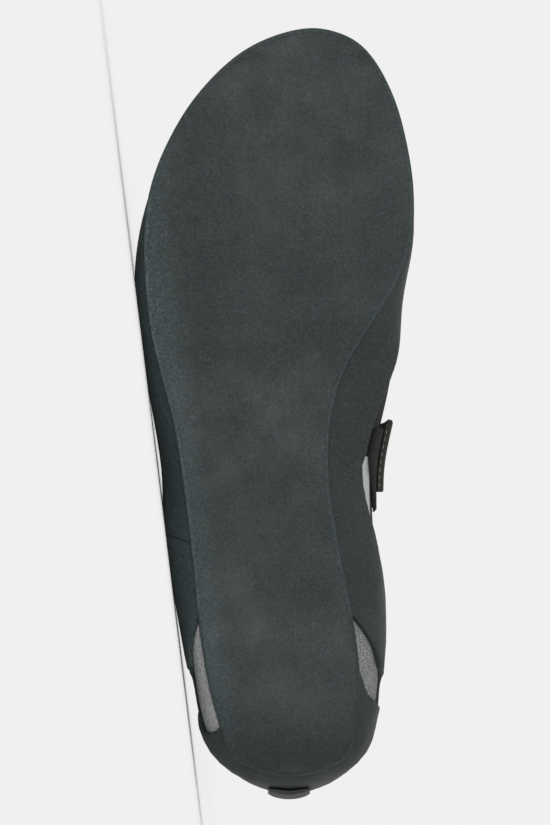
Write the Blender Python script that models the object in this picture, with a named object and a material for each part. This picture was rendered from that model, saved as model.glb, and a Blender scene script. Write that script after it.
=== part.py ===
"""A climbing shoe for the right foot, lying on its outer side.

Shoe coordinates: x runs from heel to toe, y towards the inner side of the foot and z up from the
lowest line of the last. The last is a net of control points, one row for each station along the
foot. Each piece of the upper is cut flat in last coordinates (station along, girth round) and
wrapped over the last between two distances from it.
"""
import math

import bmesh
import bpy
import numpy as np
from mathutils import Matrix

# Driving sizes, in metres
SHOE_LENGTH = 0.255
BALL_WIDTH = 0.093
HEEL_WIDTH = 0.063
HEEL_HEIGHT = 0.070
INSTEP_HEIGHT = 0.079
TOE_HEIGHT = 0.042
ARCH_RISE = 0.0135
UPPER_WALL = 0.0018
RAND_THICKNESS = 0.0018
PATCH_THICKNESS = 0.0012
SOLE_THICKNESS = 0.0042
SOLE_CROWN = 0.0010
SOLE_RIM = 0.0036
SOLE_END_LIFT = 0.0090
TOE_SPRING = 0.0015
INSOLE_THICKNESS = 0.0016
TONGUE_THICKNESS = 0.0026
TONGUE_LIFT = 0.0110
STRAP_THICKNESS = 0.0020
STRAP_END_STAND = 0.0001
STRAP_SEWN_SEAT = 0.0007
LOOP_PATCH_THICKNESS = 0.0012
BINDING_THICKNESS = 0.0009
BINDING_WIDTH = 0.0060
PULL_LOOP_WIDTH = 0.0140
PULL_LOOP_THICKNESS = 0.0014
PULL_LOOP_RISE = 0.0130
GAP = 0.0003
FLOOR_FLAT = 0.0010

# Degrees that the sole looks up from the floor as the soft side settles
SETTLED_ROLL = 0.0

# Side view of the last. Along is a share of SHOE_LENGTH; each rise is a share of the height named.
# station: foot along, foot height, foot rise, top along, top height, top rise
PROFILE = [
    ("topline", 0.027, HEEL_HEIGHT, 1.00, 0.125, HEEL_HEIGHT, 0.87),
    ("tendon", 0.014, HEEL_HEIGHT, 0.76, 0.165, HEEL_HEIGHT, 0.83),
    ("heel_back", 0.011, HEEL_HEIGHT, 0.47, 0.204, HEEL_HEIGHT, 0.82),
    ("heel_turn", 0.031, HEEL_HEIGHT, 0.17, 0.243, HEEL_HEIGHT, 0.85),
    ("heel_seat", 0.094, ARCH_RISE, 0.16, 0.282, INSTEP_HEIGHT, 0.80),
    ("heel_front", 0.196, ARCH_RISE, 0.07, 0.325, INSTEP_HEIGHT, 0.89),
    ("shank", 0.310, ARCH_RISE, 0.41, 0.373, INSTEP_HEIGHT, 0.98),
    ("waist", 0.431, ARCH_RISE, 0.96, 0.431, INSTEP_HEIGHT, 1.00),
    ("instep", 0.549, ARCH_RISE, 1.00, 0.545, INSTEP_HEIGHT, 0.79),
    ("vamp", 0.647, ARCH_RISE, 0.67, 0.640, TOE_HEIGHT, 1.19),
    ("ball", 0.737, ARCH_RISE, 0.30, 0.729, TOE_HEIGHT, 1.03),
    ("joint", 0.824, ARCH_RISE, 0.09, 0.816, TOE_HEIGHT, 1.01),
    ("toes", 0.906, ARCH_RISE, 0.00, 0.894, TOE_HEIGHT, 0.88),
    ("toe_front", 0.965, ARCH_RISE, 0.09, 0.958, TOE_HEIGHT, 0.62),
    ("toe_tip", 0.988, TOE_HEIGHT, 0.27, 0.988, TOE_HEIGHT, 0.27),
]

# Plan of the last: distances from the axis as shares of the width named, outer side negative.
# station: width, edge outer, edge inner, side outer, side inner, top outer, top inner
PLAN = [
    ("topline", HEEL_WIDTH, -0.34, 0.35, -0.395, 0.405, -0.41, 0.42),
    ("tendon", HEEL_WIDTH, -0.37, 0.38, -0.40, 0.42, -0.42, 0.43),
    ("heel_back", HEEL_WIDTH, -0.39, 0.40, -0.415, 0.43, -0.43, 0.43),
    ("heel_turn", HEEL_WIDTH, -0.38, 0.37, -0.465, 0.445, -0.450, 0.435),
    ("heel_seat", HEEL_WIDTH, -0.37, 0.35, -0.500, 0.475, -0.445, 0.430),
    ("heel_front", BALL_WIDTH, -0.304, 0.234, -0.378, 0.325, -0.275, 0.263),
    ("shank", BALL_WIDTH, -0.335, 0.175, -0.425, 0.306, -0.195, 0.185),
    ("waist", BALL_WIDTH, -0.376, 0.131, -0.437, 0.302, -0.125, 0.115),
    ("instep", BALL_WIDTH, -0.452, 0.183, -0.490, 0.366, -0.075, 0.090),
    ("vamp", BALL_WIDTH, -0.495, 0.344, -0.530, 0.385, 0.020, 0.020),
    ("ball", BALL_WIDTH, -0.495, 0.419, -0.512, 0.424, 0.055, 0.055),
    ("joint", BALL_WIDTH, -0.430, 0.398, -0.437, 0.402, 0.085, 0.085),
    ("toes", BALL_WIDTH, -0.308, 0.346, -0.314, 0.351, 0.105, 0.105),
    ("toe_front", BALL_WIDTH, -0.145, 0.247, -0.151, 0.253, 0.095, 0.095),
    ("toe_tip", BALL_WIDTH, 0.086, 0.086, 0.086, 0.086, 0.086, 0.086),
]

# Shape of each section, as shares of its own width and reach.
# station: flat of the bottom, rise of the rim, low and high end of the side, crown rise, crown width
SHAPE = [
    ("topline", 0.41, 0.50, 0.68, 0.84, 0.93, 0.98),
    ("tendon", 0.41, 0.37, 0.55, 0.78, 0.90, 0.98),
    ("heel_back", 0.42, 0.27, 0.45, 0.72, 0.88, 0.98),
    ("heel_turn", 0.52, 0.11, 0.32, 0.62, 0.86, 0.97),
    ("heel_seat", 0.76, 0.03, 0.24, 0.52, 0.84, 0.95),
    ("heel_front", 0.84, 0.03, 0.21, 0.49, 0.84, 0.88),
    ("shank", 0.84, 0.03, 0.22, 0.50, 0.87, 0.74),
    ("waist", 0.82, 0.04, 0.25, 0.50, 0.91, 0.66),
    ("instep", 0.84, 0.05, 0.22, 0.46, 0.96, 0.60),
    ("vamp", 0.88, 0.05, 0.21, 0.44, 1.00, 0.58),
    ("ball", 0.90, 0.05, 0.20, 0.42, 1.00, 0.60),
    ("joint", 0.90, 0.06, 0.21, 0.44, 1.00, 0.62),
    ("toes", 0.88, 0.07, 0.24, 0.48, 1.00, 0.62),
    ("toe_front", 0.80, 0.10, 0.32, 0.56, 1.00, 0.58),
    ("toe_tip", 0.80, 0.10, 0.32, 0.56, 1.00, 0.58),
]

# Outline of the outsole. Along is a share of SHOE_LENGTH, the two sides are shares of BALL_WIDTH.
SOLE_OUTLINE = [
    (0.026, 0.005, 0.005),
    (0.047, -0.188, 0.191),
    (0.088, -0.243, 0.236),
    (0.149, -0.289, 0.254),
    (0.224, -0.322, 0.232),
    (0.318, -0.348, 0.183),
    (0.412, -0.381, 0.144),
    (0.486, -0.414, 0.149),
    (0.553, -0.462, 0.198),
    (0.608, -0.496, 0.283),
    (0.667, -0.514, 0.380),
    (0.725, -0.518, 0.437),
    (0.784, -0.500, 0.445),
    (0.843, -0.444, 0.424),
    (0.906, -0.343, 0.378),
    (0.959, -0.205, 0.303),
    (0.988, -0.067, 0.215),
    (1.000, 0.086, 0.086),
]

# Columns of the last grid
STATION_CELLS = 2
GIRTH_CELLS = 3
GIRTH_END = 5
BRIDGE_END = 7
PIECE_COLLECTION = "climbing_shoe"
CUTTER_COLLECTION = "cutters"


def clear_scene():
    for item in list(bpy.data.objects):
        bpy.data.objects.remove(item, do_unlink=True)


def make_collection(name):
    group = bpy.data.collections.new(name)
    bpy.context.scene.collection.children.link(group)
    return group


def make_material(name, colour, roughness):
    material = bpy.data.materials.new(name)
    material.use_nodes = True
    shader = material.node_tree.nodes["Principled BSDF"]
    shader.inputs["Base Color"].default_value = (*colour, 1.0)
    shader.inputs["Roughness"].default_value = roughness
    shader.inputs["Metallic"].default_value = 0.0
    material.diffuse_color = (*colour, 1.0)
    return material


def catmull(before, start, end, after, share):
    """Point on a smooth curve from start to end."""
    a = 2 * start
    b = end - before
    c = 2 * before - 5 * start + 4 * end - after
    d = 3 * start - before - 3 * end + after
    return 0.5 * (a + b * share + c * share**2 + d * share**3)


# The last

def section_net(profile, plan, shape):
    """Control points of one section, from the outer top round the bottom to the inner top."""
    _, foot_along, foot_size, foot_rise, top_along, top_size, top_rise = profile
    _, width, edge_out, edge_in, side_out, side_in, top_out, top_in = plan
    _, flat, rim, low, high, crown, crown_width = shape
    foot = np.array([foot_along * SHOE_LENGTH, 0.0, foot_rise * foot_size])
    top = np.array([top_along * SHOE_LENGTH, 0.0, top_rise * top_size])
    middle = 0.5 * (edge_out + edge_in)

    def control(across, reach):
        return foot + (top - foot) * reach + np.array([0.0, across * width, 0.0])

    def half(edge, side, top_edge):
        return [
            control(middle + flat * (edge - middle), 0.0),
            control(edge, rim),
            control(side, low),
            control(side, high),
            control(top_edge + crown_width * (side - top_edge), crown),
            control(top_edge, 1.0),
        ]

    outer = half(edge_out, side_out, top_out)
    inner = half(edge_in, side_in, top_in)
    return np.array(outer[::-1] + [control(middle, 0.0)] + inner)


def last_net():
    rows = [section_net(*row) for row in zip(PROFILE, PLAN, SHAPE)]
    tip = rows[-1][0]
    beyond_tip = 2 * tip - rows[-2]
    beyond_tip[:, 0] = rows[-2][:, 0]
    behind_heel = 2 * rows[0] - rows[1]
    return np.array([behind_heel] + rows + [beyond_tip])


def station_number(name):
    return [row[0] for row in PROFILE].index(name)


NET = last_net()
STATION_END = len(PROFILE) - 1
VAMP = station_number("vamp")


def net_row(station):
    start = min(int(station), STATION_END - 1)
    row = catmull(NET[start], NET[start + 1], NET[start + 2], NET[start + 3], station - start)
    if station >= VAMP:
        row[0] = row[12] = 0.5 * (row[0] + row[12])
    return row


def wall_point(row, girth):
    """Point of one section; girth runs from -5 at the outer top to 5 at the inner top."""
    half = row[6:] if girth >= 0 else row[6::-1]
    girth = min(abs(girth), GIRTH_END)
    step = min(int(girth), GIRTH_END - 1)
    share = girth - step
    start = half[0] if step == 0 else 0.5 * (half[step] + half[step + 1])
    end = half[6] if step == GIRTH_END - 1 else 0.5 * (half[step + 1] + half[step + 2])
    return (1 - share)**2 * start + 2 * share * (1 - share) * half[step + 1] + share**2 * end


def bridge_point(row, share):
    """Point over the throat, on an arc from the inner edge to the outer one."""
    inner_end, outer_end = row[12], row[0]
    spread = np.linalg.norm(inner_end - outer_end)
    inner_way = inner_end - row[11]
    outer_way = row[0] - row[1]
    inner_way = inner_way / max(np.linalg.norm(inner_way), 1e-9)
    outer_way = outer_way / max(np.linalg.norm(outer_way), 1e-9)
    a = inner_end
    b = inner_end + 0.36 * spread * inner_way
    c = outer_end + 0.36 * spread * outer_way
    d = outer_end
    rest = 1 - share
    return rest**3 * a + 3 * rest**2 * share * b + 3 * rest * share**2 * c + share**3 * d


def surface_point(station, girth):
    row = net_row(station)
    if girth > GIRTH_END:
        return bridge_point(row, (girth - GIRTH_END) / (BRIDGE_END - GIRTH_END))
    return wall_point(row, girth)


def last_grid():
    """Points and outward normals of the last at the crossings of its grid."""
    stations = np.linspace(0, STATION_END, STATION_END * STATION_CELLS + 1)
    girths = np.linspace(-GIRTH_END, BRIDGE_END, (GIRTH_END + BRIDGE_END) * GIRTH_CELLS + 1)
    points = np.array([[surface_point(s, g) for g in girths] for s in stations])
    step = 0.02
    normals = np.zeros_like(points)
    for i, station in enumerate(stations):
        for j, girth in enumerate(girths):
            base = min(station, STATION_END - step)
            low = min(max(girth, -GIRTH_END), BRIDGE_END - step)
            if girth == GIRTH_END:
                low = GIRTH_END - step
            along = surface_point(min(base + step, STATION_END), low + step / 2)
            along = along - surface_point(max(base - step, 0), low + step / 2)
            across = surface_point(base, low + step) - surface_point(base, low)
            normal = np.cross(along, across)
            normals[i, j] = normal / max(np.linalg.norm(normal), 1e-12)
    closed = VAMP * STATION_CELLS
    top = GIRTH_END * 2 * GIRTH_CELLS
    seam = normals[closed:, 0] + normals[closed:, top]
    normals[closed:, 0] = seam
    normals[closed:, top:] = seam[:, None]
    normals[-1, :] = normals[-1, :].mean(axis=0)
    lengths = np.linalg.norm(normals, axis=2, keepdims=True)
    return points, -normals / np.maximum(lengths, 1e-12)


POINTS, NORMALS = last_grid()


def on_last(station, girth, distance):
    """Point at a distance from the faceted last; girth past the bridge starts again outside."""
    span = GIRTH_END + BRIDGE_END
    if girth > BRIDGE_END:
        girth -= span
    i = min(max(station, 0), STATION_END) * STATION_CELLS
    j = min(max(girth + GIRTH_END, 0), span) * GIRTH_CELLS
    row = min(int(i), len(POINTS) - 2)
    column = min(int(j), len(POINTS[0]) - 2)
    p, q = i - row, j - column
    near, far = (row, column), (row + 1, column + 1)
    side = (row + 1, column) if p >= q else (row, column + 1)
    blend = ((near, 1 - max(p, q)), (side, abs(p - q)), (far, min(p, q)))
    return sum(share * (POINTS[c] + distance * NORMALS[c]) for c, share in blend)


def stations_for(length, station, girth):
    """How many stations a length covers at one place on the last."""
    step = 0.1
    span = np.linalg.norm(on_last(station + step, girth, 0) - on_last(station - step, girth, 0))
    return length * 2 * step / span


def girths_for(length, station, girth):
    step = 0.1
    span = np.linalg.norm(on_last(station, girth + step, 0) - on_last(station, girth - step, 0))
    return length * 2 * step / span


# Making and cutting meshes

def link(mesh, name, group, material=None):
    piece = bpy.data.objects.new(name, mesh)
    group.objects.link(piece)
    if material:
        piece.data.materials.clear()
        piece.data.materials.append(material)
    return piece


def prism(outline, low, high):
    """Closed prism over a flat outline."""
    build = bmesh.new()
    corners = [build.verts.new((x, y, low)) for x, y in outline]
    face = build.faces.new(corners)
    lifted = bmesh.ops.extrude_face_region(build, geom=[face])["geom"]
    moved = [v for v in lifted if isinstance(v, bmesh.types.BMVert)]
    bmesh.ops.translate(build, verts=moved, vec=(0, 0, high - low))
    bmesh.ops.recalc_face_normals(build, faces=build.faces)
    mesh = bpy.data.meshes.new("prism")
    build.to_mesh(mesh)
    build.free()
    return mesh


def boolean(mesh, cutter_mesh, operation):
    """Result of one exact boolean as a new mesh."""
    scratch = bpy.context.scene.collection
    body = link(mesh, "body", scratch)
    cutter = link(cutter_mesh, "cutter", scratch)
    cut = body.modifiers.new("cut", "BOOLEAN")
    cut.operation = operation
    cut.object = cutter
    cut.solver = "EXACT"
    graph = bpy.context.evaluated_depsgraph_get()
    result = bpy.data.meshes.new_from_object(body.evaluated_get(graph))
    bpy.data.objects.remove(body)
    bpy.data.objects.remove(cutter)
    return result


def flat_sheet(first, last, low_girth, high_girth):
    """Closed sheet one unit thick over the grid cells between two stations and two girths."""
    i0, i1 = math.floor(first * STATION_CELLS), math.ceil(last * STATION_CELLS)
    j0, j1 = math.floor(low_girth * GIRTH_CELLS), math.ceil(high_girth * GIRTH_CELLS)
    build = bmesh.new()
    bmesh.ops.create_grid(build, x_segments=i1 - i0, y_segments=j1 - j0, size=1.0)
    for vert in build.verts:
        vert.co.x = (i0 + (vert.co.x + 1) / 2 * (i1 - i0)) / STATION_CELLS
        vert.co.y = (j0 + (vert.co.y + 1) / 2 * (j1 - j0)) / GIRTH_CELLS
    for face in build.faces[:]:
        corners = sorted(face.verts, key=lambda v: v.co.x + v.co.y)
        bmesh.utils.face_split(face, corners[0], corners[-1])
    lifted = bmesh.ops.extrude_face_region(build, geom=build.faces[:])["geom"]
    moved = [v for v in lifted if isinstance(v, bmesh.types.BMVert)]
    bmesh.ops.translate(build, verts=moved, vec=(0, 0, 1))
    bmesh.ops.recalc_face_normals(build, faces=build.faces)
    mesh = bpy.data.meshes.new("sheet")
    build.to_mesh(mesh)
    build.free()
    return mesh


def split_walls(build):
    """Split each upright wall of a cut sheet wherever its two rims have a point."""
    for face in build.faces[:]:
        levels = {round(v.co.z) for v in face.verts}
        if levels != {0, 1} or len(face.verts) == 4:
            continue
        uprights = {}
        for vert in face.verts:
            uprights.setdefault((round(vert.co.x, 4), round(vert.co.y, 4)), []).append(vert)
        for pair in [found for found in uprights.values() if len(found) == 2]:
            shared = set(pair[0].link_faces) & set(pair[1].link_faces)
            joined = any(e.other_vert(pair[0]) is pair[1] for e in pair[0].link_edges)
            if shared and not joined:
                bmesh.utils.face_split(shared.pop(), *pair)


def wrap(mesh, low, high):
    """Wrap a flat sheet over the last; low and high give its faces' distances from the last."""
    build = bmesh.new()
    build.from_mesh(mesh)
    split_walls(build)
    closed_seam = []
    for face in build.faces:
        at_seam = all(abs(abs(v.co.y) - GIRTH_END) < 1e-5 for v in face.verts)
        ahead = all(v.co.x > VAMP - 1e-5 for v in face.verts)
        at_tip = all(v.co.x > STATION_END - 1e-5 for v in face.verts)
        if (at_seam and ahead) or at_tip:
            closed_seam.append(face)
    bmesh.ops.delete(build, geom=closed_seam, context="FACES")
    for vert in build.verts:
        station, girth, level = vert.co
        distance = (1 - level) * low(station, girth) + level * high(station, girth)
        vert.co = on_last(station, girth, distance)
    bmesh.ops.remove_doubles(build, verts=build.verts, dist=2e-6)
    bmesh.ops.dissolve_degenerate(build, edges=build.edges, dist=1e-6)
    bmesh.ops.recalc_face_normals(build, faces=build.faces)
    result = bpy.data.meshes.new("piece")
    build.to_mesh(result)
    build.free()
    return result


def sewn_piece(outline, low, high):
    """Piece of the upper: outline in last coordinates, distances from the last as values."""
    low_of = low if callable(low) else lambda station, girth: low
    high_of = high if callable(high) else lambda station, girth: high
    stations = [p[0] for p in outline]
    girths = [p[1] for p in outline]
    first, last = max(min(stations), 0), min(max(stations), STATION_END)
    low_girth, high_girth = max(min(girths), -GIRTH_END), max(girths)
    if low_girth == -GIRTH_END:
        high_girth = GIRTH_END
    sheet = flat_sheet(first, last, low_girth, high_girth)
    cut = boolean(sheet, prism(outline, -1.0, 2.0), "INTERSECT")
    return wrap(cut, low_of, high_of)


# The outsole plate

def foot_line(along):
    """Height of the last's bottom at a distance from the heel, held down at both ends."""
    stations = np.linspace(station_number("heel_turn"), STATION_END, 120)
    spots = np.array([surface_point(s, 0) for s in stations])
    rise = float(np.interp(along, spots[:, 0], spots[:, 2]))
    if along < SHOE_LENGTH * PROFILE[station_number("heel_front")][1]:
        return min(rise, SOLE_END_LIFT)
    if along > SHOE_LENGTH * PROFILE[station_number("joint")][1]:
        return min(rise, TOE_SPRING)
    return rise


def sole_sections(grow, pieces):
    """Stations of the outsole as along, outer side and inner side, all grown by a margin."""
    rows = np.array(SOLE_OUTLINE) * (SHOE_LENGTH, BALL_WIDTH, BALL_WIDTH)
    heel, toe = rows[0], rows[-1]
    before = 2 * heel - rows[1]
    after = 2 * toe - rows[-2]
    before[0], after[0] = rows[1][0], rows[-2][0]
    padded = [before, *rows, after]
    curve = []
    for i in range(len(rows) - 1):
        for step in range(pieces):
            curve.append(catmull(*padded[i:i + 4], step / pieces))
    curve = np.array(curve + [toe])
    slopes = np.gradient(curve, axis=0)
    outer_way = slopes[:, :2]
    inner_way = slopes[:, ::2]
    outer_way[0], outer_way[-1] = (0, -1), (0, 1)
    inner_way[0], inner_way[-1] = (0, 1), (0, -1)
    outer_way = outer_way / np.linalg.norm(outer_way, axis=1, keepdims=True)
    inner_way = inner_way / np.linalg.norm(inner_way, axis=1, keepdims=True)
    along = curve[:, 0] + grow * 0.5 * (outer_way[:, 1] - inner_way[:, 1])
    outer = curve[:, 1] - grow * outer_way[:, 0]
    inner = curve[:, 2] + grow * inner_way[:, 0]
    return np.column_stack([along, outer, inner])


def plate(grow, deeper):
    """Sole plate before the last is taken out of it, as sections with a crowned bottom."""
    build = bmesh.new()
    shares = (0.0, 0.08, 0.30, 0.70, 0.92, 1.0)
    rings = []
    sections = sole_sections(grow, 2)
    for along, outer, inner in sections[1:-1]:
        line = foot_line(along)
        ring = []
        for share in shares:
            across = outer + (inner - outer) * share
            crown = SOLE_CROWN * (2 * share - 1)**2
            ring.append(build.verts.new((along, across, line - SOLE_THICKNESS + crown - deeper)))
        for share in reversed(shares):
            across = outer + (inner - outer) * share
            ring.append(build.verts.new((along, across, line + SOLE_RIM + grow)))
        rings.append(ring)
    count = len(shares)
    for first, second in zip(rings, rings[1:]):
        for k in range(2 * count):
            after = (k + 1) % (2 * count)
            build.faces.new((first[k], first[after], second[after], second[k]))
    for ring, (along, outer, inner) in ((rings[0], sections[0]), (rings[-1], sections[-1])):
        line = foot_line(along)
        across = 0.5 * (outer + inner)
        low = build.verts.new((along, across, line - SOLE_THICKNESS - deeper))
        high = build.verts.new((along, across, line + SOLE_RIM + grow))
        for k in range(count - 1):
            build.faces.new((ring[k], ring[k + 1], low))
            build.faces.new((ring[count + k], ring[count + k + 1], high))
        build.faces.new((ring[count - 1], ring[count], high, low))
        build.faces.new((ring[-1], ring[0], low, high))
    bmesh.ops.recalc_face_normals(build, faces=build.faces)
    mesh = bpy.data.meshes.new("plate")
    build.to_mesh(mesh)
    build.free()
    return mesh


def solid_last(distance):
    """The last as one closed body at a distance, with lids over the throat and ankle."""
    sheet = flat_sheet(0, STATION_END, -GIRTH_END, BRIDGE_END)
    build = bmesh.new()
    build.from_mesh(sheet)
    extra = [f for f in build.faces if any(v.co.z > 0.5 for v in f.verts)]
    bmesh.ops.delete(build, geom=extra, context="FACES")
    loose = [v for v in build.verts if not v.link_faces]
    bmesh.ops.delete(build, geom=loose, context="VERTS")
    for vert in build.verts:
        vert.co = on_last(vert.co.x, vert.co.y, distance)
    bmesh.ops.remove_doubles(build, verts=build.verts, dist=2e-5)
    bmesh.ops.dissolve_degenerate(build, edges=build.edges, dist=1e-6)
    open_edges = [e for e in build.edges if e.is_boundary]
    filled = bmesh.ops.holes_fill(build, edges=open_edges)["faces"]
    bmesh.ops.triangulate(build, faces=filled)
    bmesh.ops.recalc_face_normals(build, faces=build.faces)
    mesh = bpy.data.meshes.new("solid_last")
    build.to_mesh(mesh)
    build.free()
    return mesh


# Edges of the pieces as station and girth, outer side of the foot negative

LASTING_MARGIN = [(3.7, -0.40), (4.3, -0.62), (12.2, -0.62), (12.9, -0.3)]
INSOLE_EDGE = [(3.75, -0.5), (4.3, -0.86), (12.4, -0.86), (12.95, -0.4)]
RAND_TOP_OUTER = [(6.15, -3.15), (7.6, -3.2), (9.0, -3.25), (10.4, -3.3), (11.8, -3.55), (12.75, -4.2)]
RAND_TOP_INNER = [(12.75, 4.2), (11.8, 3.55), (10.4, 3.3), (9.2, 3.1), (8.5, 2.95), (8.0, 2.62),
                  (7.5, 2.36), (7.0, 2.26)]
RAND_TOP_STATION = 13.1
RAND_OVERLAP = [(6.85, 2.26), (7.15, 1.5), (7.45, 0.9)]
OUTER_SEAM_STATION = 6.15
UNDER_SOLE = 0.9
SLING_LOW = [(5.45, 1.05), (5.2, 1.6), (4.95, 1.95), (4.7, 2.2), (4.4, 2.45), (3.95, 2.95),
             (3.3, 3.15), (2.75, 2.75), (2.3, 1.6), (2.05, 0.0)]
SLING_TOP_OUTER = [(5.5, 3.35), (4.8, 3.6), (4.0, 3.75), (3.0, 3.65), (2.0, 3.2), (1.4, 2.2),
                   (1.05, 1.0), (0.95, 0.0)]
SLING_TOP_INNER = [(6.75, 2.26), (6.5, 2.36), (6.2, 2.55), (5.8, 2.8), (5.4, 3.15)]
HEEL_OUTER = [(3.5, -0.9), (4.0, -0.9), (4.0, -1.15), (3.6, -1.7), (3.1, -2.2)]
HEEL_INNER = [(3.75, 2.35), (4.05, 2.1), (4.3, 1.8), (4.6, 1.5), (4.85, 1.1), (4.85, 0.9), (3.5, 0.9)]
PATCH_BACK = [(10.1, 8.55), (9.75, 8.0), (9.85, 7.0), (9.85, 5.0), (9.7, 4.2), (9.95, 3.5)]
STRAP_EDGE_FRONT = [(7.53, 3.0), (7.48, 4.0), (7.6, 5.0), (7.58, 6.0), (7.45, 7.0), (7.2, 8.0), (6.93, 8.7)]
STRAP_EDGE_BACK = [(5.95, 8.6), (6.22, 8.0), (6.42, 7.0), (6.5, 6.0), (6.52, 5.0), (6.6, 4.0), (6.66, 3.0)]
# Girths at which the strap rests on the patch, on the binding and on the upper
STRAP_GIRTHS = [3.0, 4.6, 5.0, 7.4, 7.9]
LOOP_PATCH_EDGE = [(6.4, 2.95), (6.85, 2.62), (7.12, 2.45), (7.42, 2.5), (7.45, 4.5),
                   (6.4, 4.5)]
BINDING_END = 8.75


def mirrored(points):
    return [(station, -girth) for station, girth in reversed(points)]


def moved_round(points, length):
    """The same edge, moved round the last by a length."""
    return [(s, g + girths_for(length, s, g)) for s, g in points]


def moved_along(points, length):
    """The same edge, moved along the last by a length."""
    return [(s + stations_for(length, s, g), g) for s, g in points]


def make_upper():
    sheet = flat_sheet(0, STATION_END, -GIRTH_END, GIRTH_END)
    opening = LASTING_MARGIN + mirrored(LASTING_MARGIN)
    cut = boolean(sheet, prism(opening, -1.0, 2.0), "DIFFERENCE")
    return wrap(cut, lambda s, g: -UPPER_WALL, lambda s, g: 0.0)


def make_insole():
    outline = INSOLE_EDGE + mirrored(INSOLE_EDGE)
    top = -UPPER_WALL - GAP
    return sewn_piece(outline, top - INSOLE_THICKNESS, top)


def make_tongue():
    outline = [(8.5, 4.6), (8.5, 7.4), (6.9, 7.7), (6.5, 6.78), (5.6, 6.65), (5.35, 6.4),
               (5.35, 5.6), (5.6, 5.35), (6.5, 5.22), (6.9, 4.3)]
    under = -UPPER_WALL - 2 * GAP

    def lift(station):
        return TONGUE_LIFT * max(0.0, 6.4 - station)**1.3

    return sewn_piece(
        outline,
        lambda s, g: under - TONGUE_THICKNESS + lift(s),
        lambda s, g: under + lift(s))


def make_outsole():
    return boolean(plate(0.0, 0.0), solid_last(GAP), "DIFFERENCE")


def beside_sole(mesh):
    """Trim a piece back from the side of the sole plate."""
    return boolean(mesh, plate(GAP, SOLE_THICKNESS), "DIFFERENCE")


def make_front_rand():
    half = 0.5 * GAP
    seam = OUTER_SEAM_STATION + stations_for(half, OUTER_SEAM_STATION, -3)
    outer_top = [(seam, RAND_TOP_OUTER[0][1])] + RAND_TOP_OUTER[1:]
    beyond = [(RAND_TOP_STATION, -GIRTH_END), (RAND_TOP_STATION, -5.1), (STATION_END + 1, -5.1)]
    overlap = moved_along(RAND_OVERLAP, half)
    under = [(13.3, UNDER_SOLE), (13.3, -UNDER_SOLE), (seam, -UNDER_SOLE)]
    outline = outer_top + beyond + mirrored(beyond) + RAND_TOP_INNER + overlap + under
    return beside_sole(sewn_piece(outline, GAP, GAP + RAND_THICKNESS))


def make_rear_rand():
    half = 0.5 * GAP
    seam = OUTER_SEAM_STATION - stations_for(half, OUTER_SEAM_STATION, -3)
    overlap = moved_along(RAND_OVERLAP, -half)
    outline = [(seam, -UNDER_SOLE), (seam, -3.15)] + [(s, -g) for s, g in SLING_TOP_OUTER]
    outline += [(s, g) for s, g in reversed(SLING_TOP_OUTER[1:-1])]
    outline += SLING_TOP_INNER[::-1] + overlap
    outline += [(5.5, UNDER_SOLE)] + SLING_LOW + mirrored(SLING_LOW[:-1]) + [(5.45, -UNDER_SOLE)]
    return beside_sole(sewn_piece(outline, GAP, GAP + RAND_THICKNESS))


def make_heel_rubber():
    under_sling = moved_along([p for p in SLING_LOW if p[0] < 3.0], GAP)
    top = [(s, -g) for s, g in under_sling] + under_sling[-2::-1]
    outline = HEEL_OUTER + top + [(3.4, 2.6)] + HEEL_INNER
    return beside_sole(sewn_piece(outline, GAP, GAP + RAND_THICKNESS))


def make_toe_patch():
    inner = moved_round([p for p in RAND_TOP_INNER if p[0] > 10], GAP)
    outer = moved_round([p for p in RAND_TOP_OUTER if p[0] > 10], -GAP)
    outer = [(s, g + GIRTH_END + BRIDGE_END) for s, g in outer]
    front = RAND_TOP_STATION - stations_for(GAP, RAND_TOP_STATION - 0.2, 4.9)
    outline = inner[::-1] + [(front, 5.0), (front, 7.0)] + outer[::-1] + PATCH_BACK
    return sewn_piece(outline, GAP, GAP + PATCH_THICKNESS)


def make_strap():
    """Strap sewn down on the outer side, over the throat, to its closing end on the loop patch."""
    over_binding = GAP + BINDING_THICKNESS + GAP
    over_patch = GAP + LOOP_PATCH_THICKNESS + GAP
    seats = [over_patch + STRAP_END_STAND, over_patch, over_binding, over_binding, STRAP_SEWN_SEAT]

    def low(station, girth):
        return float(np.interp(girth, STRAP_GIRTHS, seats))

    outline = STRAP_EDGE_FRONT + STRAP_EDGE_BACK
    return sewn_piece(outline, low, lambda s, g: low(s, g) + STRAP_THICKNESS)


def make_loop_patch():
    return sewn_piece(LOOP_PATCH_EDGE, GAP, GAP + LOOP_PATCH_THICKNESS)


def make_binding():
    """Band round the collar and down both sides of the throat."""
    stations = (BINDING_END, 8.0, 7.0, 6.0, 5.0, 4.0, 3.0, 2.0, 1.0)
    inner = [(s, -GIRTH_END + girths_for(BINDING_WIDTH, s, 4.8)) for s in stations]
    back = stations_for(BINDING_WIDTH, 0.3, 0.0)
    side = [(BINDING_END, -5.5)] + inner + [(back, -3.2), (back, 0.0)]
    outline = [(-0.5, -5.5)] + side + mirrored(side[:-1]) + [(-0.5, 5.5)]
    return sewn_piece(outline, GAP, GAP + BINDING_THICKNESS)


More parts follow.
